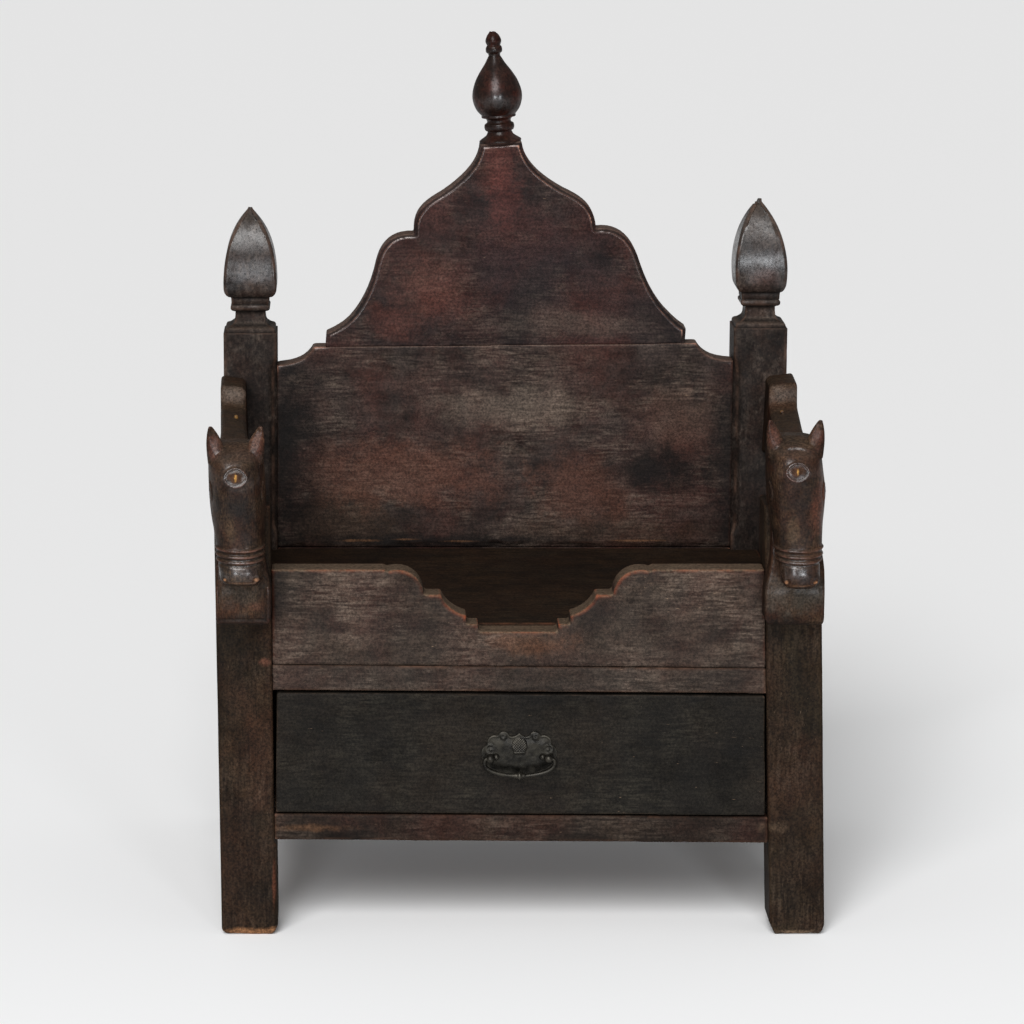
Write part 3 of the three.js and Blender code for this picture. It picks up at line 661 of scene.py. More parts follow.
def head_height(at, z):
    """Where a common height is on one side's head, with its own poll and chin."""
    z = np.asarray(z, float)
    foot, top = NOSEBAND
    up = np.clip((z - top) / (POLL_Z - top), 0, 1)
    down = np.clip((foot - z) / (foot - CHIN_Z), 0, 1)
    return z + at["poll"] * up - at["chin"] * down


def head_middle(at, z):
    return at["sign"] * (at["head_x"] + at["head_lean"] * (z - MUZZLE_Z))


def head_loft(at):
    z = np.linspace(HEAD_SECTIONS[0, 0], HEAD_SECTIONS[-1, 0], 90)
    columns = (spline(HEAD_SECTIONS[:, 0], HEAD_SECTIONS[:, k], z) for k in (1, 2, 3, 4))
    c, s = circle(72)
    u = np.sign(c) * np.abs(c) ** (2 / 2.6)
    v = np.sign(s) * np.abs(s) ** (2 / 2.6)
    rings = []
    for zi, front, back, half, taper in zip(z, *columns):
        half *= 1 + (at["muzzle"] - 1) * smoothstep(NOSEBAND[1], NOSEBAND[0], zi)
        x = head_middle(at, zi) + half * u * (1 + taper * v)
        x += at["cheek"] * ridge(zi - 652, 30) * np.clip(u * at["sign"], 0, 1) * at["sign"]
        y = LEG_FRONT + (front + back) / 2 + (back - front) / 2 * v
        rings.append(np.column_stack([x, y, np.full(72, head_height(at, zi))]))
    return lofted(rings)


ARM_RUN = np.array([
    # y from the leg's face, share of the way to the post, half width (0 takes the post end's), top, bottom
    (-40, 0, 35, 706, 628), (8, 0, 35, 706, 628), (62, 0.12, 30, 698, 628), (130, 0.3, 24, 691, 628),
    (300, 0.6, 0, 690, 626), (440, 0.85, 0, 690, 622), (466, 0.88, 0, 692, 620), (473, 0.89, 0, 697, 619),
    (478, 0.9, 0, 714, 618), (482, 0.91, 0, 718.5, 616), (488, 0.92, 0, 720, 615), (575.7, 1, 0, 720, 600),
])
ARM_BEVEL = 9.0


def arm_outline(half_high, half_wide, sign):
    """The section of an arm, with a bevel along its inner top arris. u is up and v across."""
    outline = rounded_rectangle(half_high, half_wide, 5, 7)
    corner = half_high + half_wide - ARM_BEVEL - 4
    over = np.clip(outline[:, 0] - sign * outline[:, 1] - corner, 0, None) / 2
    return outline - np.column_stack([over, -sign * over])


def arm_loft(at):
    y = np.unique(np.concatenate([np.linspace(-40, 575.7, 60), np.linspace(430, 500, 36)]))
    half_at = np.where(ARM_RUN[:, 2] == 0, at["arm_half"], ARM_RUN[:, 2])
    share, top, bottom = (np.interp(y, ARM_RUN[:, 0], ARM_RUN[:, k]) for k in (1, 3, 4))
    half = np.interp(y, ARM_RUN[:, 0], half_at)
    top = top + at["arm_top"] * smoothstep(440, 490, y)
    rings = []
    for yi, si, hi, ti, bi in zip(y, share, half, top, bottom):
        zi = (ti + bi) / 2
        head = abs(head_middle(at, zi))
        x = at["sign"] * (head + (at["arm_x"] - head) * si)
        outline = arm_outline((ti - bi) / 2, hi, at["sign"])
        level = np.full(len(outline), LEG_FRONT + yi)
        rings.append(np.column_stack([x + outline[:, 1], level, zi + outline[:, 0]]))
    return lofted(rings)


BRACKET_LOW = 465.0


def bracket_part(at):
    """The bracket under the muzzle, stacked in level slices."""
    inner, outer = at["block"]
    z = np.concatenate([[0, 1, 2.5, 5, 8, 11], np.linspace(15, 195, 60)]) + BRACKET_LOW
    up = z - BRACKET_LOW
    ease = np.interp(up, [0, 1, 2.5, 5, 8, 11], [9, 6, 4, 2, 0.6, 0])
    side = inner + 9 * smoothstep(510, 562, z)
    thick = 46 - 18 * smoothstep(505, 575, z)
    rings = []
    for zi, ei, si, ti in zip(z, ease, side, thick):
        low, high = si + ei, outer - ei * 0.3 - 3.5 * smoothstep(540, 575, zi)
        deep = ti - 0.3 - ei * 0.6
        outline = rounded_rectangle((high - low) / 2, deep / 2, 4, 5)
        x = at["sign"] * (low + high) / 2
        rings.append(level_ring(outline, x, LEG_FRONT - 0.3 - deep / 2, zi))
    return lofted(rings)


EAR = dict(out=24, lean=11, low=698, high=750, y=-60, wide=14.5, deep=10)


def ear_part(at, way):
    c, s = circle(28)
    x = head_middle(at, EAR["low"])
    rings = []
    for share in np.linspace(0, 1, 30):
        size = 0.17 + 0.83 * (1 - share**2.4)
        centre = x + way * (EAR["out"] + EAR["lean"] * share**1.3)
        y = LEG_FRONT + EAR["y"] + 8 * share
        outline = np.column_stack([EAR["wide"] * size * c, EAR["deep"] * size**0.8 * s])
        z = float(head_height(at, EAR["low"] + (EAR["high"] - EAR["low"]) * share))
        rings.append(level_ring(outline, centre, y, z))
    return lofted(rings)


def stamp(co, normals, centre, facing, up, reach, height):
    """Raises or sinks the skin round a centre by height(a, b), with a along up and b across it."""
    facing = np.array(facing, float) / np.linalg.norm(facing)
    up = np.array(up, float) - np.dot(up, facing) * facing
    up /= np.linalg.norm(up)
    across = np.cross(up, facing)
    near = co - np.array(centre, float)
    picked = (np.linalg.norm(near, axis=1) < reach) & (normals @ facing > 0.15)
    a, b = near[picked] @ up, near[picked] @ across
    co[picked] += facing * height(a, b)[:, None]


def carve_head(at):
    def medallion(a, b):
        d = np.hypot(b / 16, a / (13.2 - 0.008 * b * b))
        return 2.0 * ridge(d - 1, 0.1)

    def eye(a, b):
        d = np.hypot(a / 11, b / (6 - 0.012 * a * a))
        globe = 1.2 * np.clip(1 - d * d, 0, 1) ** 0.6
        return 1.5 * ridge(d - 1.1, 0.2) - 0.6 * ridge(d - 1.7, 0.34) + globe

    def nostril(a, b):
        d = np.hypot(a / 3.6, b / 3)
        return -2.2 * ridge(d, 1) + 0.5 * ridge(d - 1.8, 0.4)

    def jaw(a, b):
        r = np.hypot(a / 42, b / 26)
        return -0.8 * ridge(r - 1, 0.12)

    def ear_hollow(a, b):
        width = np.clip(9.5 * (1 - ((a + 4) / 26) ** 2), 1, None)
        return -3.2 * ridge(b, width / 1.2) * smoothstep(-20, 4, a) * smoothstep(21, 13, a)

    def shape(co, normals):
        co = co.copy()
        z = co[:, 2]
        u = co[:, 0] - head_middle(at, z)
        v = co[:, 1] - LEG_FRONT
        lift = at["poll"]
        head = (v < -34) & (z > 520)

        # noseband: three thin ridges round the nose with channels between, and a quirk under it
        bow = 0.003 * u * u
        level = z - bow
        strap = 0.6 * smoothstep(559, 561, level) * smoothstep(581, 579, level)
        for line in (562, 569.5, 578):
            strap += 1.9 * ridge(level - line, 1.5)
        strap -= 1.9 * ridge(level - 557.5, 1.7)
        strap -= 1.6 * (ridge(level - 565.7, 1.5) + ridge(level - 573.7, 1.7))
        co += normals * np.where(head, strap, 0)[:, None]

        # mouth, low on the muzzle
        lips = 1.5 * ridge(z - (533.5 - at["chin"]), 1.3) * smoothstep(-46, -60, v)
        co -= normals * np.where(head, lips, 0)[:, None]

        # browband: a double line over the forehead
        band = z - (720 + lift - 0.011 * u * u)
        brow = 1.5 * ridge(band, 1.7) + 1.2 * ridge(band + 5, 1.5) - 0.8 * ridge(band + 9, 2)
        brow *= at["brow"] * smoothstep(31, 25, u) * smoothstep(-16, -6, u)
        front = (v < -40) & (normals[:, 1] < 0.1)
        co += normals * np.where(front, brow, 0)[:, None]

        boss_z = float(head_height(at, 684))
        middle = head_middle(at, 684)
        stamp(co, normals, (middle, LEG_FRONT - 91, boss_z), (0, -1, 0.15), (0, 0, 1), 26, medallion)
        for way in (-1, 1):
            x = head_middle(at, 660) + way * 37
            stamp(co, normals, (x, LEG_FRONT - 60, 660), (way * 0.93, -0.36, 0.05), (0, 0.15, 1), 26, eye)
            x = head_middle(at, 538) + way * 21 * at["muzzle"]
            centre = (x, LEG_FRONT - 84, 538 - at["chin"] * 0.7)
            stamp(co, normals, centre, (way * 0.5, -0.86, -0.1), (way * 0.6, 0, 1), 12, nostril)
            x = head_middle(at, 622) + way * 42
            stamp(co, normals, (x, LEG_FRONT - 22, 622), (way, -0.1, 0), (0, 0, 1), 48, jaw)
            x = head_middle(at, EAR["low"]) + way * (EAR["out"] + 4.5)
            centre = (x, LEG_FRONT + EAR["y"] - 5, 731 + lift)
            stamp(co, normals, centre, (-way * 0.1, -1, 0), (way * 0.22, 0, 1), 30, ear_hollow)

        # a bead round the bracket's field
        inner, outer = at["block"]
        x = at["sign"] * co[:, 0]
        field = (v < -20) & (z < 548) & (normals[:, 1] < -0.35) & ~head
        side = inner + 9 * smoothstep(510, 562, z)
        margin = np.minimum(np.minimum(x - side, outer - x + 3), z - BRACKET_LOW)
        bead = at["bead"] * (0.7 * ridge(margin - 4, 2.8) - 1.5 * ridge(margin - 8.6, 1.5))
        co += normals * np.where(field, bead, 0)[:, None]
        return co

    return shape


def nail_of(at):
    """Where the nail on top of an arm is."""
    share = np.interp(at["nail"], ARM_RUN[:, 0], ARM_RUN[:, 1])
    head = abs(head_middle(at, 690))
    return (at["sign"] * (head + (at["arm_x"] - head) * share - 2), LEG_FRONT + at["nail"], 690.6)


def arm(side):
    at = SIDES[side]
    parts = [arm_loft(at), head_loft(at), bracket_part(at)]
    parts += [ear_part(at, way) for way in (-1, 1)]
    parts.append(ball(nail_of(at), (3.8, 4.2, 3.4), 10, 14))
    piece = joined(f"arm_{side}_carved", parts)
    weathered(piece, 1.35, 1, chips=0.5, wave=0.3, seed=21 + at["sign"], shape=carve_head(at), faces=135000)
    return finish(piece, f"arm_{side}", "head")


# Drawer pull

PULL_X, PLATE_Z, PIVOT_Z = 2.6, 270.5, 263.5
PLATE_FACE = -281.8
PIVOT_Y = -293.3
STUDS = 41.5
PLATE_HALF = [
    [(0, -34.5), (8, -29), (22, -34), (33, -27)],
    [(33, -27), (45, -25), (55, -12), (54, 0)],
    [(54, 0), (53, 8), (47, 9), (46, 13)],
    [(46, 13), (47, 21), (38, 27), (31, 24)],
    [(31, 24), (29, 32), (16, 33), (14, 24)],
    [(14, 24), (9, 21), (5, 24), (0, 28)],
]


def bezier(points, count):
    a, b, c, d = (np.array(p, float) for p in points)
    t = np.linspace(0, 1, count)[:, None]
    return a * (1 - t) ** 3 + 3 * b * t * (1 - t) ** 2 + 3 * c * t * t * (1 - t) + d * t**3


def away_from(points, starts, ends):
    """Distance of points (n, 2) from the nearest of the straight lines between starts and ends."""
    best = np.full(len(points), 1e9)
    for a, b in zip(starts, ends):
        along = b - a
        t = np.clip(((points - a) @ along) / max(along @ along, 1e-9), 0, 1)
        best = np.minimum(best, np.linalg.norm(points - a - t[:, None] * along, axis=1))
    return best


def pull_plate():
    half = np.concatenate([bezier(stretch, 12)[: -1] for stretch in PLATE_HALF] + [np.array([(0, 28)])])
    outline = np.concatenate([half, half[-2:0:-1] * (-1, 1)])
    count = len(outline)
    front = np.column_stack([outline[:, 0], np.full(count, 0.0), outline[:, 1]])
    points = np.concatenate([front, front + (0, 2.5, 0)])
    faces = [tuple(range(count)), tuple(range(2 * count - 1, count - 1, -1))]
    faces += [(i, i + count, (i + 1) % count + count, (i + 1) % count) for i in range(count)]
    place = np.array([PULL_X, PLATE_FACE, PLATE_Z])

    def relief(co, normals):
        co = co.copy()
        p = (co - place)[:, [0, 2]]
        edge = away_from(p, outline, np.roll(outline, -1, axis=0))
        rise = 2.0 * smoothstep(1, 15, edge) + 0.35 * ridge(edge - 1.9, 1.1) * smoothstep(2, 18, p[:, 1])

        # a basket of beads on a foot, a scroll at each side and a lobe at each upper corner
        a, b = p[:, 0], p[:, 1] - 9.5
        bead = 1.2 + 0.8 * np.cos(a * 1.7 + 0.4 * np.sin(b)) * np.cos(b * 1.7)
        inside = smoothstep(1.1, 0.9, np.hypot(a / 10.5, b / 11.5))
        rise = rise + inside * bead * (b > -8.5)
        rise = rise + 1.6 * ridge(b + 9.8, 1.2) * smoothstep(9, 7, np.abs(a))
        for way in (-1, 1):
            out = way * a
            turn = np.hypot(out - 41, p[:, 1] - 4)
            rise = rise + 0.8 * ridge(turn - 6.5, 1.8) * smoothstep(-2, 3, out - 38)
            rise = rise + 0.8 * ridge(turn, 2.4)
            rise = rise + 0.8 * ridge(np.hypot(out - 23, p[:, 1] - 23) - 3, 2)
        rise = rise + 0.5 * rough_noise(co, 9, 73) * smoothstep(1, 4, edge)
        co[:, 1] -= np.where(normals[:, 1] < -0.2, rise * smoothstep(0, 1.2, edge), 0)
        return co

    piece = joined("pull_plate_cast", [(points + place, faces)])
    weathered(piece, 0.7, 1, chips=0.15, seed=71, shape=relief, faces=50000)
    return finish(piece, "pull_plate", "metal")


def turned_about_y(profile, around=32):
    """A turned shape on an axis towards -Y, from radii and distances in front."""
    c, s = circle(around)
    rings = [np.column_stack([r * c, np.full(around, -d), r * s]) for r, d in profile]
    return lofted(rings)


def pull_studs():
    profile = [(0.4, 0), (7.6, 0), (7.8, 0.8), (7.2, 1.6), (5.6, 2), (5.2, 2.6), (3.8, 3.4), (3.5, 5)]
    for angle in np.linspace(-0.9, math.pi / 2 - 0.08, 14):
        profile.append((6 * math.cos(angle), 11.2 + 6 * math.sin(angle)))
    for side, way in (("left", -1), ("right", 1)):
        points, faces = turned_about_y(profile)
        place = np.array([PULL_X + way * STUDS, PLATE_FACE - 0.3, PIVOT_Z])
        beside = (PULL_X + way * 33, PLATE_FACE - 4.6, PIVOT_Z + 1)
        piece = joined(f"pull_stud_{side}_cast", [(points + place, faces), ball(beside, (4.6, 5.4, 5))])
        front = PLATE_FACE - points_of(piece.data)[:, 1] / MM
        store(piece.data, "arris", smoothstep(4, 12, front) * 0.6)
        store(piece.data, "hollow", ridge(front - 5, 1.6) * smoothstep(8, 4, front))
        piece.data.shade_smooth()
        finish(piece, f"pull_stud_{side}", "metal")


def pull_bail():
    half, drop, rod = 50.0, 25.0, 2.9
    start = half - 5.4
    line = [np.array([(STUDS - 3 + k * (start - STUDS + 3) / 3, 0.0) for k in range(3)])]
    t = np.linspace(0, 1, 10)[:-1, None]
    corner = np.array((start, 0)) * (1 - t) ** 2 + 2 * np.array((half, 0)) * t * (1 - t)
    line.append(corner + np.array((half, -5.4)) * t * t)
    line.append(bezier([(half, -5.4), (half, -20), (24, -drop), (0, -drop)], 36))
    right = np.concatenate(line)
    path = np.concatenate([right * (-1, 1), right[-2::-1]])
    tangent = np.gradient(path, axis=0)
    tangent /= np.linalg.norm(tangent, axis=1)[:, None]
    c, s = circle(18)
    x = np.abs(path[:, 0])
    size = rod + 1.5 * ridge(x - 5.6, 1.6) + 3.9 * ridge(x, 2.4) + 0.4 * ridge(x - 27, 12)
    rings = []
    for (px, pz), (tx, tz), r in zip(path, tangent, size):
        ring = np.column_stack([px - tz * r * s, r * c, pz + tx * r * s])
        rings.append(ring)
    points, faces = lofted(rings)
    piece = joined("pull_bail_forged", [(points + (PULL_X, PIVOT_Y, PIVOT_Z), faces)])
    store(piece.data, "arris", np.repeat(0.15 + 0.4 * ridge(x, 7), 18))
    store(piece.data, "hollow", np.zeros(len(points)))
    piece.data.shade_smooth()
    return finish(piece, "pull_bail", "metal")


# Materials


class Wiring:
    """Adds and joins the nodes of one tree."""

    def __init__(self, tree):
        self.tree = tree

    def put(self, socket, value):
        if isinstance(value, bpy.types.NodeSocket):
            self.tree.links.new(value, socket)
        else:
            socket.default_value = value

    def add(self, kind, inputs=(), **settings):
        node = self.tree.nodes.new(kind)
        for key, value in settings.items():
            setattr(node, key, value)
        for key, value in dict(inputs).items():
            self.put(node.inputs[key], value)
        return node

    def math(self, operation, a, b=0.0, c=0.0, clamp=False):
        node = self.add("ShaderNodeMath", {0: a, 1: b, 2: c}, operation=operation, use_clamp=clamp)
        return node.outputs[0]

    def vector(self, operation, a, b=(0, 0, 0)):
        return self.add("ShaderNodeVectorMath", {0: a, 1: b}, operation=operation).outputs[0]

    def step(self, value, low, high):
        """0 below low, 1 above high, smooth between."""
        inputs = {"Value": value, "From Min": low, "From Max": high}
        node = self.add("ShaderNodeMapRange", inputs, interpolation_type="SMOOTHSTEP")
        return node.outputs["Result"]

    def mix(self, share, a, b, blend="MIX"):
        node = self.add("ShaderNodeMix", data_type="RGBA", clamp_factor=True, blend_type=blend)
        for key, value in ((0, share), (6, a), (7, b)):
            self.put(node.inputs[key], value)
        return node.outputs[2]

    def noise(self, vector, scale, detail=4.0, roughness=0.55, distortion=0.0):
        inputs = {"Vector": vector, "Scale": scale, "Detail": detail}
        inputs |= {"Roughness": roughness, "Distortion": distortion}
        return self.add("ShaderNodeTexNoise", inputs).outputs["Fac"]

    def part(self, group, **inputs):
        """One of the shared effects, with its inputs joined or set."""
        node = self.add("ShaderNodeGroup", node_tree=GROUPS[group])
        for key, value in inputs.items():
            self.put(node.inputs[key], value)
        return node.outputs


FLOAT, VECTOR = "NodeSocketFloat", "NodeSocketVector"


def new_group(name, inputs, outputs):
    """An empty node group with named sockets, and the wiring of its inside."""
    tree = bpy.data.node_groups.new(name, "ShaderNodeTree")
    for label, kind, value in inputs:
        socket = tree.interface.new_socket(label, in_out="INPUT", socket_type=kind)
        if value is not None:
            socket.default_value = value
    for label in outputs:
        tree.interface.new_socket(label, in_out="OUTPUT", socket_type=FLOAT)
    w = Wiring(tree)
    return tree, w, w.add("NodeGroupInput").outputs, w.add("NodeGroupOutput").inputs


def grain_group():
    """Streaks along the timber, finer fibres in them, and a speckle of pores and dirt."""
    inputs = [("Place", VECTOR, None), ("Along", VECTOR, (9.0, 110.0, 110.0))]
    tree, w, source, sink = new_group("timber grain", inputs, ("Streak", "Fibre", "Speck"))
    run = w.vector("MULTIPLY", source["Place"], source["Along"])
    cloud = w.noise(source["Place"], 22.0, 6.0, 0.68, 0.3)
    streak = w.math("MULTIPLY", w.noise(run, 0.5, 5.0, 0.6, 0.6), 0.45)
    w.put(sink["Streak"], w.math("MULTIPLY_ADD", cloud, 0.55, streak))
    w.put(sink["Fibre"], w.noise(run, 2.6, 4.0, 0.65, 0.3))
    w.put(sink["Speck"], w.noise(source["Place"], 300.0, 3.0, 0.75))
    return tree


def patina_group():
    """Where old stain has gone red, grey with dust, or black, and how the sheen clouds."""
    inputs = [("Place", VECTOR, None), ("Size", FLOAT, 7.0)]
    layers = (("Red", 3.1, 1.0), ("Dust", 11.7, 1.5), ("Dark", 23.9, 0.9), ("Cloud", 41.3, 3.2))
    tree, w, source, sink = new_group("old patina", inputs, [layer[0] for layer in layers])
    for label, shift, factor in layers:
        moved = w.vector("ADD", source["Place"], (shift, -shift, shift))
        value = w.noise(moved, w.math("MULTIPLY", source["Size"], factor), 6.0, 0.62, 0.4)
        w.put(sink[label], w.step(value, 0.40, 0.68))
    return tree


def wear_group():
    """Rubbed arrises, broken up so that they come and go."""
    inputs = [("Place", VECTOR, None), ("Arris", FLOAT, 0.0), ("Amount", FLOAT, 0.8)]
    tree, w, source, sink = new_group("rubbed arris", inputs, ("Mask",))
    broken = w.step(w.noise(source["Place"], 34.0, 6.0, 0.7), 0.34, 0.66)
    mask = w.math("MULTIPLY", w.math("MULTIPLY", source["Arris"], broken), source["Amount"])
    w.put(sink["Mask"], mask)
    return tree


def fleck_group():
    """Small pale nicks and long light scratches, gathered in places."""
    inputs = [("Place", VECTOR, None), ("Along", VECTOR, (1.0, 6.0, 6.0)), ("Amount", FLOAT, 0.5)]
    tree, w, source, sink = new_group("nicks and scratches", inputs, ("Mask",))
    run = w.vector("MULTIPLY", source["Place"], source["Along"])
    nick = w.step(w.noise(run, 62.0, 3.0, 0.6), 0.69, 0.77)
    scratch = w.step(w.noise(run, 24.0, 8.0, 0.75), 0.65, 0.74)
    area = w.step(w.noise(source["Place"], 9.0, 3.0), 0.42, 0.62)
    both = w.math("MAXIMUM", nick, w.math("MULTIPLY", scratch, 0.6))
    w.put(sink["Mask"], w.math("MULTIPLY", w.math("MULTIPLY", both, area), source["Amount"]))
    return tree


def patch_group():
    """One soft, ragged patch round a centre."""
    inputs = [("Place", VECTOR, None), ("Centre", VECTOR, (0, 0, 0)), ("Reach", VECTOR, (0.1, 1.0, 0.1))]
    inputs.append(("Ragged", FLOAT, 2.2))
    tree, w, source, sink = new_group("single patch", inputs, ("Mask",))
    share = w.vector("DIVIDE", w.vector("SUBTRACT", source["Place"], source["Centre"]), source["Reach"])
    length = w.add("ShaderNodeVectorMath", {0: share}, operation="LENGTH").outputs["Value"]
    edge = w.math("SUBTRACT", w.noise(source["Place"], 30.0, 7.0, 0.72), 0.5)
    away = w.math("MULTIPLY_ADD", edge, source["Ragged"], length)
    w.put(sink["Mask"], w.step(away, 1.2, 0.3))
    return tree


def lying_group():
    """Upward faces, which take the top colour: painted shade where it is dark, a paler tint where it is
    pale.
    """
    tree, w, source, sink = new_group("lying dirt", [("Amount", FLOAT, 0.8)], ("Mask",))
    normal = w.add("ShaderNodeTexCoord").outputs["Normal"]
    up = w.add("ShaderNodeSeparateXYZ", {0: normal}).outputs["Z"]
    w.put(sink["Mask"], w.math("MULTIPLY", w.step(up, 0.2, 0.7), source["Amount"]))
    return tree


GROUPS = dict(
    grain=grain_group(),
    patina=patina_group(),
    wear=wear_group(),
    fleck=fleck_group(),
    patch=patch_group(),
    lying=lying_group(),
)


def rgb(red, green, blue):
    """A colour given as it looks on screen, from 0 to 255, as the linear colour that nodes use."""
    linear = [((c / 255 + 0.055) / 1.055) ** 2.4 if c > 10 else c / 255 / 12.92 for c in (red, green, blue)]
    return (*linear, 1.0)


def new_material(name):
    material = bpy.data.materials.new(name)
    material.use_nodes = True
    material.node_tree.nodes.clear()
    return material, Wiring(material.node_tree)


ALONG_X = (14.0, 110.0, 110.0)
ALONG_Z = (110.0, 110.0, 14.0)
ALONG_Y = (110.0, 14.0, 110.0)
RED, DUST, WORN = rgb(84, 40, 30), rgb(96, 84, 74), rgb(120, 72, 50)
BLACK, TAN = rgb(13, 10, 9), rgb(140, 98, 66)
# GLINT is a painted highlight, laid on the most rubbed arrises
PALE, GLINT = rgb(150, 124, 100), rgb(166, 122, 104)


def wood(
    name, deep, light, along=ALONG_X, red=(RED, 0.4), dust=(DUST, 0.35), dark=0.5, worn=(WORN, 0.7),
    flecks=0.3, gloss=0.64, shine=0.12, top=(BLACK, 0.25), speckle=0.5, relief=0.4, glint=0.5,
    mottle=6.5, waxed_arris=0.0, patches=(), polish=(),
):
    """Old stained timber: grain, patina, rubbed arrises with a painted highlight, painted shade in hollows,
    and nicks.

    red, dust, worn and top, which is for upward faces, are each a colour and how much of it there is; a
    dark top colour is painted shade.
    A patch is a colour, its share, its centre and its reach in millimetres. A polished place is how
    much wax it has, its centre and its reach; waxed_arris is how much wax the arrises have.
    """
    material, w = new_material(name)
    place = w.add("ShaderNodeTexCoord").outputs["Object"]
    arris = w.add("ShaderNodeAttribute", attribute_name="arris").outputs["Fac"]
    hollow = w.add("ShaderNodeAttribute", attribute_name="hollow").outputs["Fac"]
    grain = w.part("grain", Place=place, Along=along)
    patina = w.part("patina", Place=place, Size=mottle)
    rubbed = w.part("wear", Place=place, Arris=arris, Amount=worn[1])["Mask"]
    finest = tuple(v / max(along) * 5 + 0.6 for v in along)
    nicks = w.part("fleck", Place=place, Along=finest, Amount=flecks)["Mask"]
    lying = w.part("lying", Amount=top[1])["Mask"]

    colour = w.mix(w.step(grain["Streak"], 0.36, 0.66), deep, light)
    colour = w.mix(w.math("MULTIPLY", patina["Red"], red[1]), colour, red[0])
    film = w.math("MULTIPLY", patina["Dust"], w.step(grain["Fibre"], 0.36, 0.68))
    dusty = w.math("MULTIPLY", film, dust[1])
    colour = w.mix(dusty, colour, dust[0])
    colour = w.mix(w.math("MULTIPLY", patina["Dark"], dark), colour, deep)

    def patch(centre, reach):
        inputs = dict(Centre=tuple(v * MM for v in centre), Reach=tuple(v * MM for v in reach))
        return w.part("patch", Place=place, **inputs)["Mask"]

    for tint, share, centre, reach in patches:
        colour = w.mix(w.math("MULTIPLY", patch(centre, reach), share), colour, tint)
    # upward faces: painted shade where the top colour is dark, a paler tint where it is pale
    colour = w.mix(lying, colour, top[0])
    fibre = w.math("MULTIPLY_ADD", w.step(grain["Fibre"], 0.25, 0.75), 0.4, 0.8)
    speck = w.math("MULTIPLY_ADD", w.step(grain["Speck"], 0.3, 0.7), 2 * speckle, 1 - speckle)
    colour = w.mix(1.0, colour, w.math("MULTIPLY", fibre, speck), "MULTIPLY")
    # painted shade: hollows, grooves and quirks darkened towards BLACK
    colour = w.mix(w.math("MULTIPLY", hollow, 0.8), colour, BLACK)
    colour = w.mix(rubbed, colour, worn[0])
    # painted highlight: GLINT on the most rubbed arrises, as much as glint says
    bright = w.math("MULTIPLY", w.step(rubbed, 0.15, 0.5), glint)
    colour = w.mix(bright, colour, GLINT)
    colour = w.mix(nicks, colour, PALE)

    rough = w.math("MULTIPLY_ADD", patina["Cloud"], 0.16, gloss)
    rough = w.math("MULTIPLY_ADD", dusty, 0.25, rough)
    rough = w.math("MULTIPLY_ADD", rubbed, -0.1, rough, clamp=True)
    height = w.math("MULTIPLY_ADD", grain["Fibre"], 0.6, w.math("MULTIPLY", grain["Streak"], 0.5))
    height = w.math("MULTIPLY_ADD", grain["Speck"], 0.35, height)
    height = w.math("MULTIPLY_ADD", nicks, -0.7, height)
    bump = w.add("ShaderNodeBump", {"Height": height, "Strength": relief, "Distance": 0.0012})
    inputs = {"Base Color": colour, "Roughness": rough, "Normal": bump.outputs[0]}
    inputs["Specular IOR Level"] = shine
    if polish or waxed_arris:
        wax = w.math("MULTIPLY", arris, waxed_arris)
        for amount, centre, reach in polish:
            wax = w.math("MULTIPLY_ADD", patch(centre, reach), amount, wax)
        uneven = w.math("MULTIPLY_ADD", patina["Cloud"], -0.3, w.step(grain["Speck"], 0.1, 0.6), clamp=True)
        inputs["Coat Weight"] = w.math("MULTIPLY", wax, uneven, clamp=True)
        inputs["Coat Roughness"] = 0.25
    shader = w.add("ShaderNodeBsdfPrincipled", inputs)
    w.add("ShaderNodeOutputMaterial", {"Surface": shader.outputs[0]})
    return material


def metal():
    """Dark bronze, greyed, and brighter where hands have rubbed it."""
    material, w = new_material("dark pull metal")
    place = w.add("ShaderNodeTexCoord").outputs["Object"]
    arris = w.add("ShaderNodeAttribute", attribute_name="arris").outputs["Fac"]
    hollow = w.add("ShaderNodeAttribute", attribute_name="hollow").outputs["Fac"]
    rubbed = w.part("wear", Place=place, Arris=arris, Amount=0.55)["Mask"]
    cloud = w.step(w.noise(place, 90.0, 5.0), 0.35, 0.7)
    colour = w.mix(cloud, rgb(18, 16, 13), rgb(38, 35, 29))
    colour = w.mix(w.math("MULTIPLY", hollow, 0.8), colour, BLACK)
    colour = w.mix(rubbed, colour, rgb(94, 89, 80))
    rough = w.math("MULTIPLY_ADD", cloud, 0.2, 0.32)
    pits = w.noise(place, 420.0, 4.0)
    bump = w.add("ShaderNodeBump", {"Height": pits, "Strength": 0.3, "Distance": 0.0004})
    inputs = {"Base Color": colour, "Roughness": rough, "Normal": bump.outputs[0], "Metallic": 0.8}
    shader = w.add("ShaderNodeBsdfPrincipled", inputs)
    w.add("ShaderNodeOutputMaterial", {"Surface": shader.outputs[0]})
    return material


GOLD, HORN = rgb(160, 118, 60), rgb(140, 98, 68)


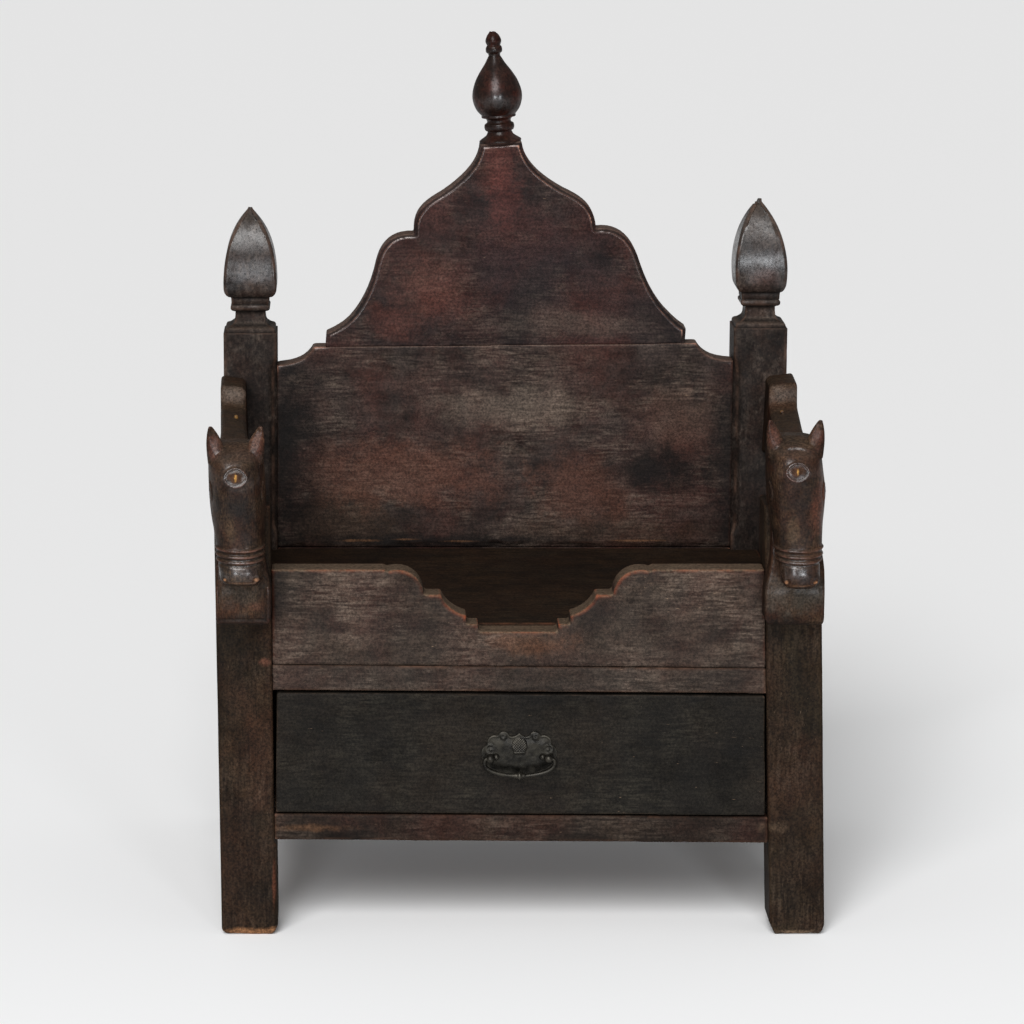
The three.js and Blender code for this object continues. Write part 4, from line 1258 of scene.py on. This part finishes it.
def head_marks():
    """Stains and gilding on the arms and their heads, the brackets darker along their feet, painted light
    on the fronts of the arm blocks, and the places where they are waxed.
    """
    nose, marks, wax = [], [], []
    brackets = [
        (rgb(86, 44, 26), 0.4, (420, LEG_FRONT - 78, 640), (22, 34, 64)),
        # the brackets darker along their feet, and the left one along its inner side
        (BLACK, 0.7, (-385, LEG_FRONT - 30, 467), (90, 60, 17)),
        (BLACK, 0.7, (-351, LEG_FRONT - 30, 505), (13, 60, 70)),
        (BLACK, 0.8, (386, LEG_FRONT - 30, 466), (60, 40, 24)),
        (rgb(60, 53, 45), 0.5, (-388, LEG_FRONT - 40, 512), (40, 40, 30)),
        (rgb(60, 53, 45), 0.6, (388, LEG_FRONT - 40, 508), (50, 40, 34)),
        (rgb(90, 58, 44), 0.3, (-372, LEG_FRONT - 45, 492), (14, 40, 8)),
        # painted light on the front faces of the blocks at the arms' back ends
        (rgb(112, 98, 88), 0.4, (-416, LEG_FRONT + 480, 706), (26, 14, 20)),
        (rgb(96, 86, 78), 0.4, (416, LEG_FRONT + 480, 706), (26, 14, 20)),
    ]
    for at in SIDES.values():
        muzzle = head_middle(at, 540)
        boss = (head_middle(at, 684), LEG_FRONT - 91, float(head_height(at, 684)))
        nose = [
            (rgb(72, 56, 40), 0.4, (muzzle - 14, LEG_FRONT - 84, 606), (9, 40, 26)),
            (BLACK, 0.5, (muzzle + 10, LEG_FRONT - 88, 604), (9, 40, 26)),
            (BLACK, 0.55, (boss[0] + 4, LEG_FRONT - 88, boss[2] - 42), (22, 40, 24)),
        ] + nose
        marks += [
            (GOLD, 0.9, nail_of(at), (4, 4.4, 6)),
            (rgb(66, 44, 30), 0.7, boss, (14, 9, 11)),
            (GOLD, 0.9, boss, (2, 9, 6)),
            (HORN, 0.16, (muzzle, LEG_FRONT - 80, 534 - at["chin"]), (24, 16, 2)),
        ]
        wax += [
            (0.25, (at["sign"] * 392, LEG_FRONT - 60, 640), (80, 80, 150)),
            (0.7, boss, (34, 40, 20)),
            (-1.2, boss, (14, 30, 11)),
            (1.0, (muzzle, LEG_FRONT - 80, 550), (44, 40, 18)),
            (0.5, (boss[0], LEG_FRONT - 74, boss[2] + 26), (44, 30, 9)),
        ]
        for way in (-1, 1):
            nostril = (muzzle + way * 22 * at["muzzle"], LEG_FRONT - 82, 538 - at["chin"])
            marks.append((HORN, 0.6, nostril, (3.4 + 0.6 * way, 12, 3.2)))
            ear = (head_middle(at, 700) + way * 30, LEG_FRONT - 62, 728 + at["poll"])
            marks.append((rgb(80, 44, 36), 0.4, ear, (12, 16, 20)))
    return nose + brackets + marks, wax


HEAD_MARKS, HEAD_WAX = head_marks()
DEEP, LIGHT = rgb(16, 10, 10), rgb(43, 32, 30)
FINISHES = dict(
    crest=wood(
        "crest timber", DEEP, LIGHT, red=(RED, 0.28), dust=(DUST, 0.3), dark=0.4,
        top=(rgb(98, 80, 70), 0.5), glint=0.7, waxed_arris=2.5,
        patches=(
            (rgb(86, 44, 37), 0.4, (CREST_SHIFT, BOARD_FRONT, 1045), (36, 200, 54)),
            (rgb(80, 40, 35), 0.35, (CREST_SHIFT + 6, BOARD_FRONT, 990), (26, 200, 50)),
            (rgb(78, 46, 38), 0.4, (-120, BOARD_FRONT, 850), (74, 200, 60)),
            (rgb(76, 42, 34), 0.4, (-170, BOARD_FRONT, 800), (60, 200, 34)),
            (rgb(66, 34, 30), 0.3, (20, BOARD_FRONT, 930), (80, 200, 60)),
            (rgb(24, 18, 20), 0.5, (40, BOARD_FRONT, 876), (120, 200, 60)),
            (DUST, 0.2, (90, BOARD_FRONT, 800), (120, 200, 25)),
        ),
    ),
    lower_back=wood(
        "lower back timber", rgb(20, 14, 12), rgb(50, 40, 36), red=(RED, 0.25), dust=(DUST, 0.55),
        dark=0.3, top=(rgb(98, 80, 70), 0.5), glint=0.6, waxed_arris=1.5,
        patches=(
            (rgb(40, 27, 17), 0.6, (-250, BOARD_FRONT, 490), (120, 200, 60)),
            (rgb(44, 31, 22), 0.5, (150, BOARD_FRONT, 472), (220, 200, 32)),
            (rgb(84, 52, 40), 0.45, (-170, BOARD_FRONT, 565), (200, 200, 60)),
            (rgb(84, 52, 40), 0.4, (120, BOARD_FRONT, 540), (90, 200, 60)),
            (DUST, 0.4, (10, BOARD_FRONT, 668), (150, 200, 36)),
            (rgb(86, 64, 54), 0.35, (270, BOARD_FRONT, 650), (70, 200, 60)),
            (BLACK, 0.9, (235, BOARD_FRONT, 570), (85, 200, 42)),
            # painted shade: the board's ends beside the posts, and its foot over the seat
            (BLACK, 0.9, (-352, BOARD_FRONT, 590), (76, 200, 190)),
            (BLACK, 0.85, (350, BOARD_FRONT, 580), (44, 200, 170)),
            (BLACK, 0.8, (-90, BOARD_FRONT, 458), (260, 200, 13)),
            (TAN, 0.2, (-225, BOARD_FRONT, 459), (36, 200, 2.5)),
            (TAN, 0.2, (-150, BOARD_FRONT, 461), (24, 200, 2)),
            (TAN, 0.2, (-70, BOARD_FRONT, 458), (30, 200, 2)),
            (TAN, 0.2, (210, BOARD_FRONT, 459), (50, 200, 2)),
        ),
    ),
    rear=wood("rear timber", DEEP, LIGHT, red=(RED, 0.3), dust=(DUST, 0.5)),
    apron=wood(
        "apron timber", rgb(27, 20, 16), rgb(52, 43, 36), red=(RED, 0.15), dust=(DUST, 0.5), dark=0.3,
        flecks=0.5, worn=(rgb(146, 68, 38), 1.0), top=(rgb(94, 78, 62), 0.6), glint=0.0,
        patches=(
            (rgb(126, 80, 52), 0.14, (10, FRONT_FACE, 428), (70, 200, 18)),
            # painted shade at the left end, beside the leg
            (BLACK, 0.6, (-346, FRONT_FACE, 500), (26, 200, 60)),
        ),
    ),
    rail=wood(
        "drawer rail timber", rgb(26, 20, 16), rgb(51, 43, 37), red=(RED, 0.15), dust=(DUST, 0.45),
        flecks=0.4, worn=(rgb(100, 70, 52), 0.45), glint=0.2,
    ),
    low_rail=wood(
        "bottom rail timber", rgb(16, 11, 8), rgb(36, 28, 22), red=(RED, 0.15), dust=(DUST, 0.25),
        flecks=0.35, worn=(rgb(92, 64, 48), 0.4), shine=0.08, glint=0.2,
        patches=(
            (TAN, 0.12, (-300, FRONT_FACE, 158), (60, 200, 6)),
            (PALE, 0.07, (350, FRONT_FACE, 160), (10, 200, 10)),
        ),
    ),
    leg_left=wood(
        "left leg timber", rgb(16, 11, 6), rgb(38, 28, 18), ALONG_Z, red=(rgb(62, 34, 22), 0.3),
        dust=(rgb(78, 66, 56), 0.2), worn=(rgb(80, 52, 36), 0.4), glint=0.1, shine=0.08, speckle=0.6,
        patches=(
            (rgb(20, 14, 9), 0.5, (-384, LEG_FRONT, 95), (60, 80, 90)),
            (TAN, 0.6, (-382, LEG_FRONT, 3), (46, 80, 9)),
            (rgb(104, 58, 40), 0.3, (-347, LEG_FRONT, 75), (3, 80, 40)),
            (rgb(86, 54, 42), 0.5, (-358, LEG_FRONT, 402), (10, 80, 7)),
        ),
    ),
    leg_right=wood(
        "right leg timber", rgb(15, 11, 6), rgb(36, 28, 18), ALONG_Z, red=(rgb(62, 34, 22), 0.25),
        dust=(rgb(78, 66, 56), 0.25), worn=(rgb(80, 52, 36), 0.4), glint=0.1, shine=0.08, speckle=0.6,
        patches=(
            (rgb(20, 14, 9), 0.35, (404, LEG_FRONT, 110), (60, 80, 90)),
            (PALE, 0.3, (402, LEG_FRONT, 3), (40, 80, 6)),
            (PALE, 0.07, (370, LEG_FRONT, 160), (18, 80, 10)),
        ),
    ),
    side=wood("side timber", rgb(24, 17, 13), rgb(48, 37, 30), ALONG_Y, dust=(DUST, 0.4)),
    seat=wood(
        "seat timber", rgb(18, 11, 6), rgb(38, 25, 14), red=(rgb(42, 25, 14), 0.3),
        dust=(rgb(60, 48, 34), 0.3), top=(BLACK, 0.0), gloss=0.75, shine=0.1, glint=0.0,
    ),
    drawer=wood(
        "ebonised drawer", rgb(13, 11, 9), rgb(25, 22, 18), red=(rgb(38, 28, 20), 0.22),
        dust=(rgb(54, 50, 42), 0.3), dark=0.4, worn=(rgb(60, 50, 40), 0.5), flecks=0.4, gloss=0.6,
        shine=0.08, glint=0.1,
    ),
    post=wood(
        "post timber", rgb(16, 12, 10), rgb(38, 31, 27), (60, 60, 26), red=(rgb(56, 36, 28), 0.3),
        dust=(rgb(86, 76, 68), 0.4), dark=0.5, worn=(rgb(84, 62, 50), 0.4), gloss=0.6, shine=0.1,
        relief=0.25, top=(rgb(84, 74, 66), 0.3), glint=0.05, mottle=18.0,
        patches=(
            (rgb(80, 50, 40), 0.3, (398, POST_FRONT, 872), (24, 80, 20)),
            # painted shade on the lower shafts, under and behind the arms
            (BLACK, 0.4, (-391, POST_FRONT, 540), (90, 200, 120)),
            (BLACK, 0.35, (391, POST_FRONT, 540), (90, 200, 130)),
        ),
        polish=(
            (0.72, (-391, POST_FRONT + 41, 912), (90, 90, 92)),
            (1.0, (391, POST_FRONT + 41, 918), (90, 90, 92)),
        ),
    ),
    finial=wood(
        "finial timber", rgb(9, 4, 3), rgb(36, 19, 13), (90, 90, 20), red=(rgb(66, 27, 17), 0.55),
        dust=(DUST, 0.08), dark=0.7, gloss=0.5, shine=0.06, top=(rgb(84, 70, 60), 0.05), speckle=0.5,
        relief=0.25, glint=0.1, mottle=24.0,
        polish=(
            (0.4, (CREST_SHIFT - 6, BOARD_FRONT + 22, 1160), (120, 120, 150)),
            (0.6, (CREST_SHIFT - 8, BOARD_FRONT - 14, 1136), (24, 40, 26)),
        ),
    ),
    head=wood(
        "carved timber", rgb(9, 5, 3), rgb(40, 26, 16), (300, 300, 36), red=(rgb(70, 36, 22), 0.28),
        dust=(rgb(90, 70, 50), 0.4), dark=0.5, worn=(rgb(76, 41, 27), 0.6), flecks=0.35, gloss=0.6,
        shine=0.08, top=(rgb(80, 66, 54), 0.2), speckle=0.55, relief=0.3, glint=0.06, mottle=16.0,
        waxed_arris=0.4,
        patches=HEAD_MARKS,
        polish=HEAD_WAX,
    ),
    box=wood(
        "drawer box timber", rgb(58, 42, 30), rgb(100, 74, 52), red=(rgb(92, 58, 38), 0.3),
        worn=(rgb(130, 98, 72), 0.6), top=(BLACK, 0.1), glint=0.0,
    ),
    metal=metal(),
)


# The whole

for side_name in SIDES:
    back_post(side_name)
    arm(side_name)
front_leg("left", 31, (4, 8), (8, 13.5), 5.5, 3.3)
front_leg("right", 32, (7, 15), (9, 17), 1.5, 0.0)
crest_finial()
boards()
pull_plate()
pull_studs()
pull_bail()


# Floor, light and camera

material, wiring = new_material("pale floor")
plain = wiring.add("ShaderNodeBsdfPrincipled", {"Base Color": (0.94, 0.94, 0.94, 1), "Roughness": 0.8})
plain.inputs["Specular IOR Level"].default_value = 0.1
wiring.add("ShaderNodeOutputMaterial", {"Surface": plain.outputs[0]})
corners = [(-30, -12, 0), (30, -12, 0), (30, 60, 0), (-30, 60, 0)]
floor = new_object("floor", mesh_from("floor", corners, [(0, 1, 2, 3)]))
floor.data.materials.append(material)

world = bpy.data.worlds.new("studio")
world.use_nodes = True
world.node_tree.nodes["Background"].inputs["Color"].default_value = (1, 1, 1, 1)
world.node_tree.nodes["Background"].inputs["Strength"].default_value = 0.27
scene.world = world
scene.view_settings.view_transform = "Standard"


def aimed(name, lamp, place, target):
    holder = bpy.data.objects.new(name, lamp)
    holder.location = place
    holder.rotation_euler = (Vector(target) - Vector(place)).to_track_quat("-Z", "Y").to_euler()
    scene.collection.objects.link(holder)


def soft_light(name, place, target, size, power):
    lamp = bpy.data.lights.new(name, "AREA")
    lamp.shape = "RECTANGLE"
    lamp.size, lamp.size_y = size
    lamp.energy = power
    lamp.color = (0.92, 0.96, 1.0)
    aimed(name, lamp, place, target)


sun = bpy.data.lights.new("broad front light", "SUN")
sun.energy = 3.0
sun.angle = math.radians(32)
aimed("broad front light", sun, (-1.0, -4.6, 4.1), (0, 0, 0.5))
soft_light("key", (-1.1, -5.2, 1.0), (0, 0, 0.8), (0.7, 1.0), 75)
soft_light("fill", (1.2, -5.2, 1.0), (0, 0, 0.8), (0.6, 1.0), 66)

CAMERA_DOWN = 10.983  # degrees below level
FOCAL_SHARE = 4340 / 1024  # focal length over the picture's width
camera = bpy.data.objects.new("camera", bpy.data.cameras.new("camera"))
camera.location = (-0.241, -6.281, 1.783)
camera.rotation_euler = (math.radians(90 - CAMERA_DOWN), 0, 0)
camera.data.shift_x = 0.16
camera.data.sensor_width = 36
camera.data.lens = FOCAL_SHARE * 36
camera.data.clip_end = 200
scene.collection.objects.link(camera)
scene.camera = camera

bpy.context.view_layer.update()
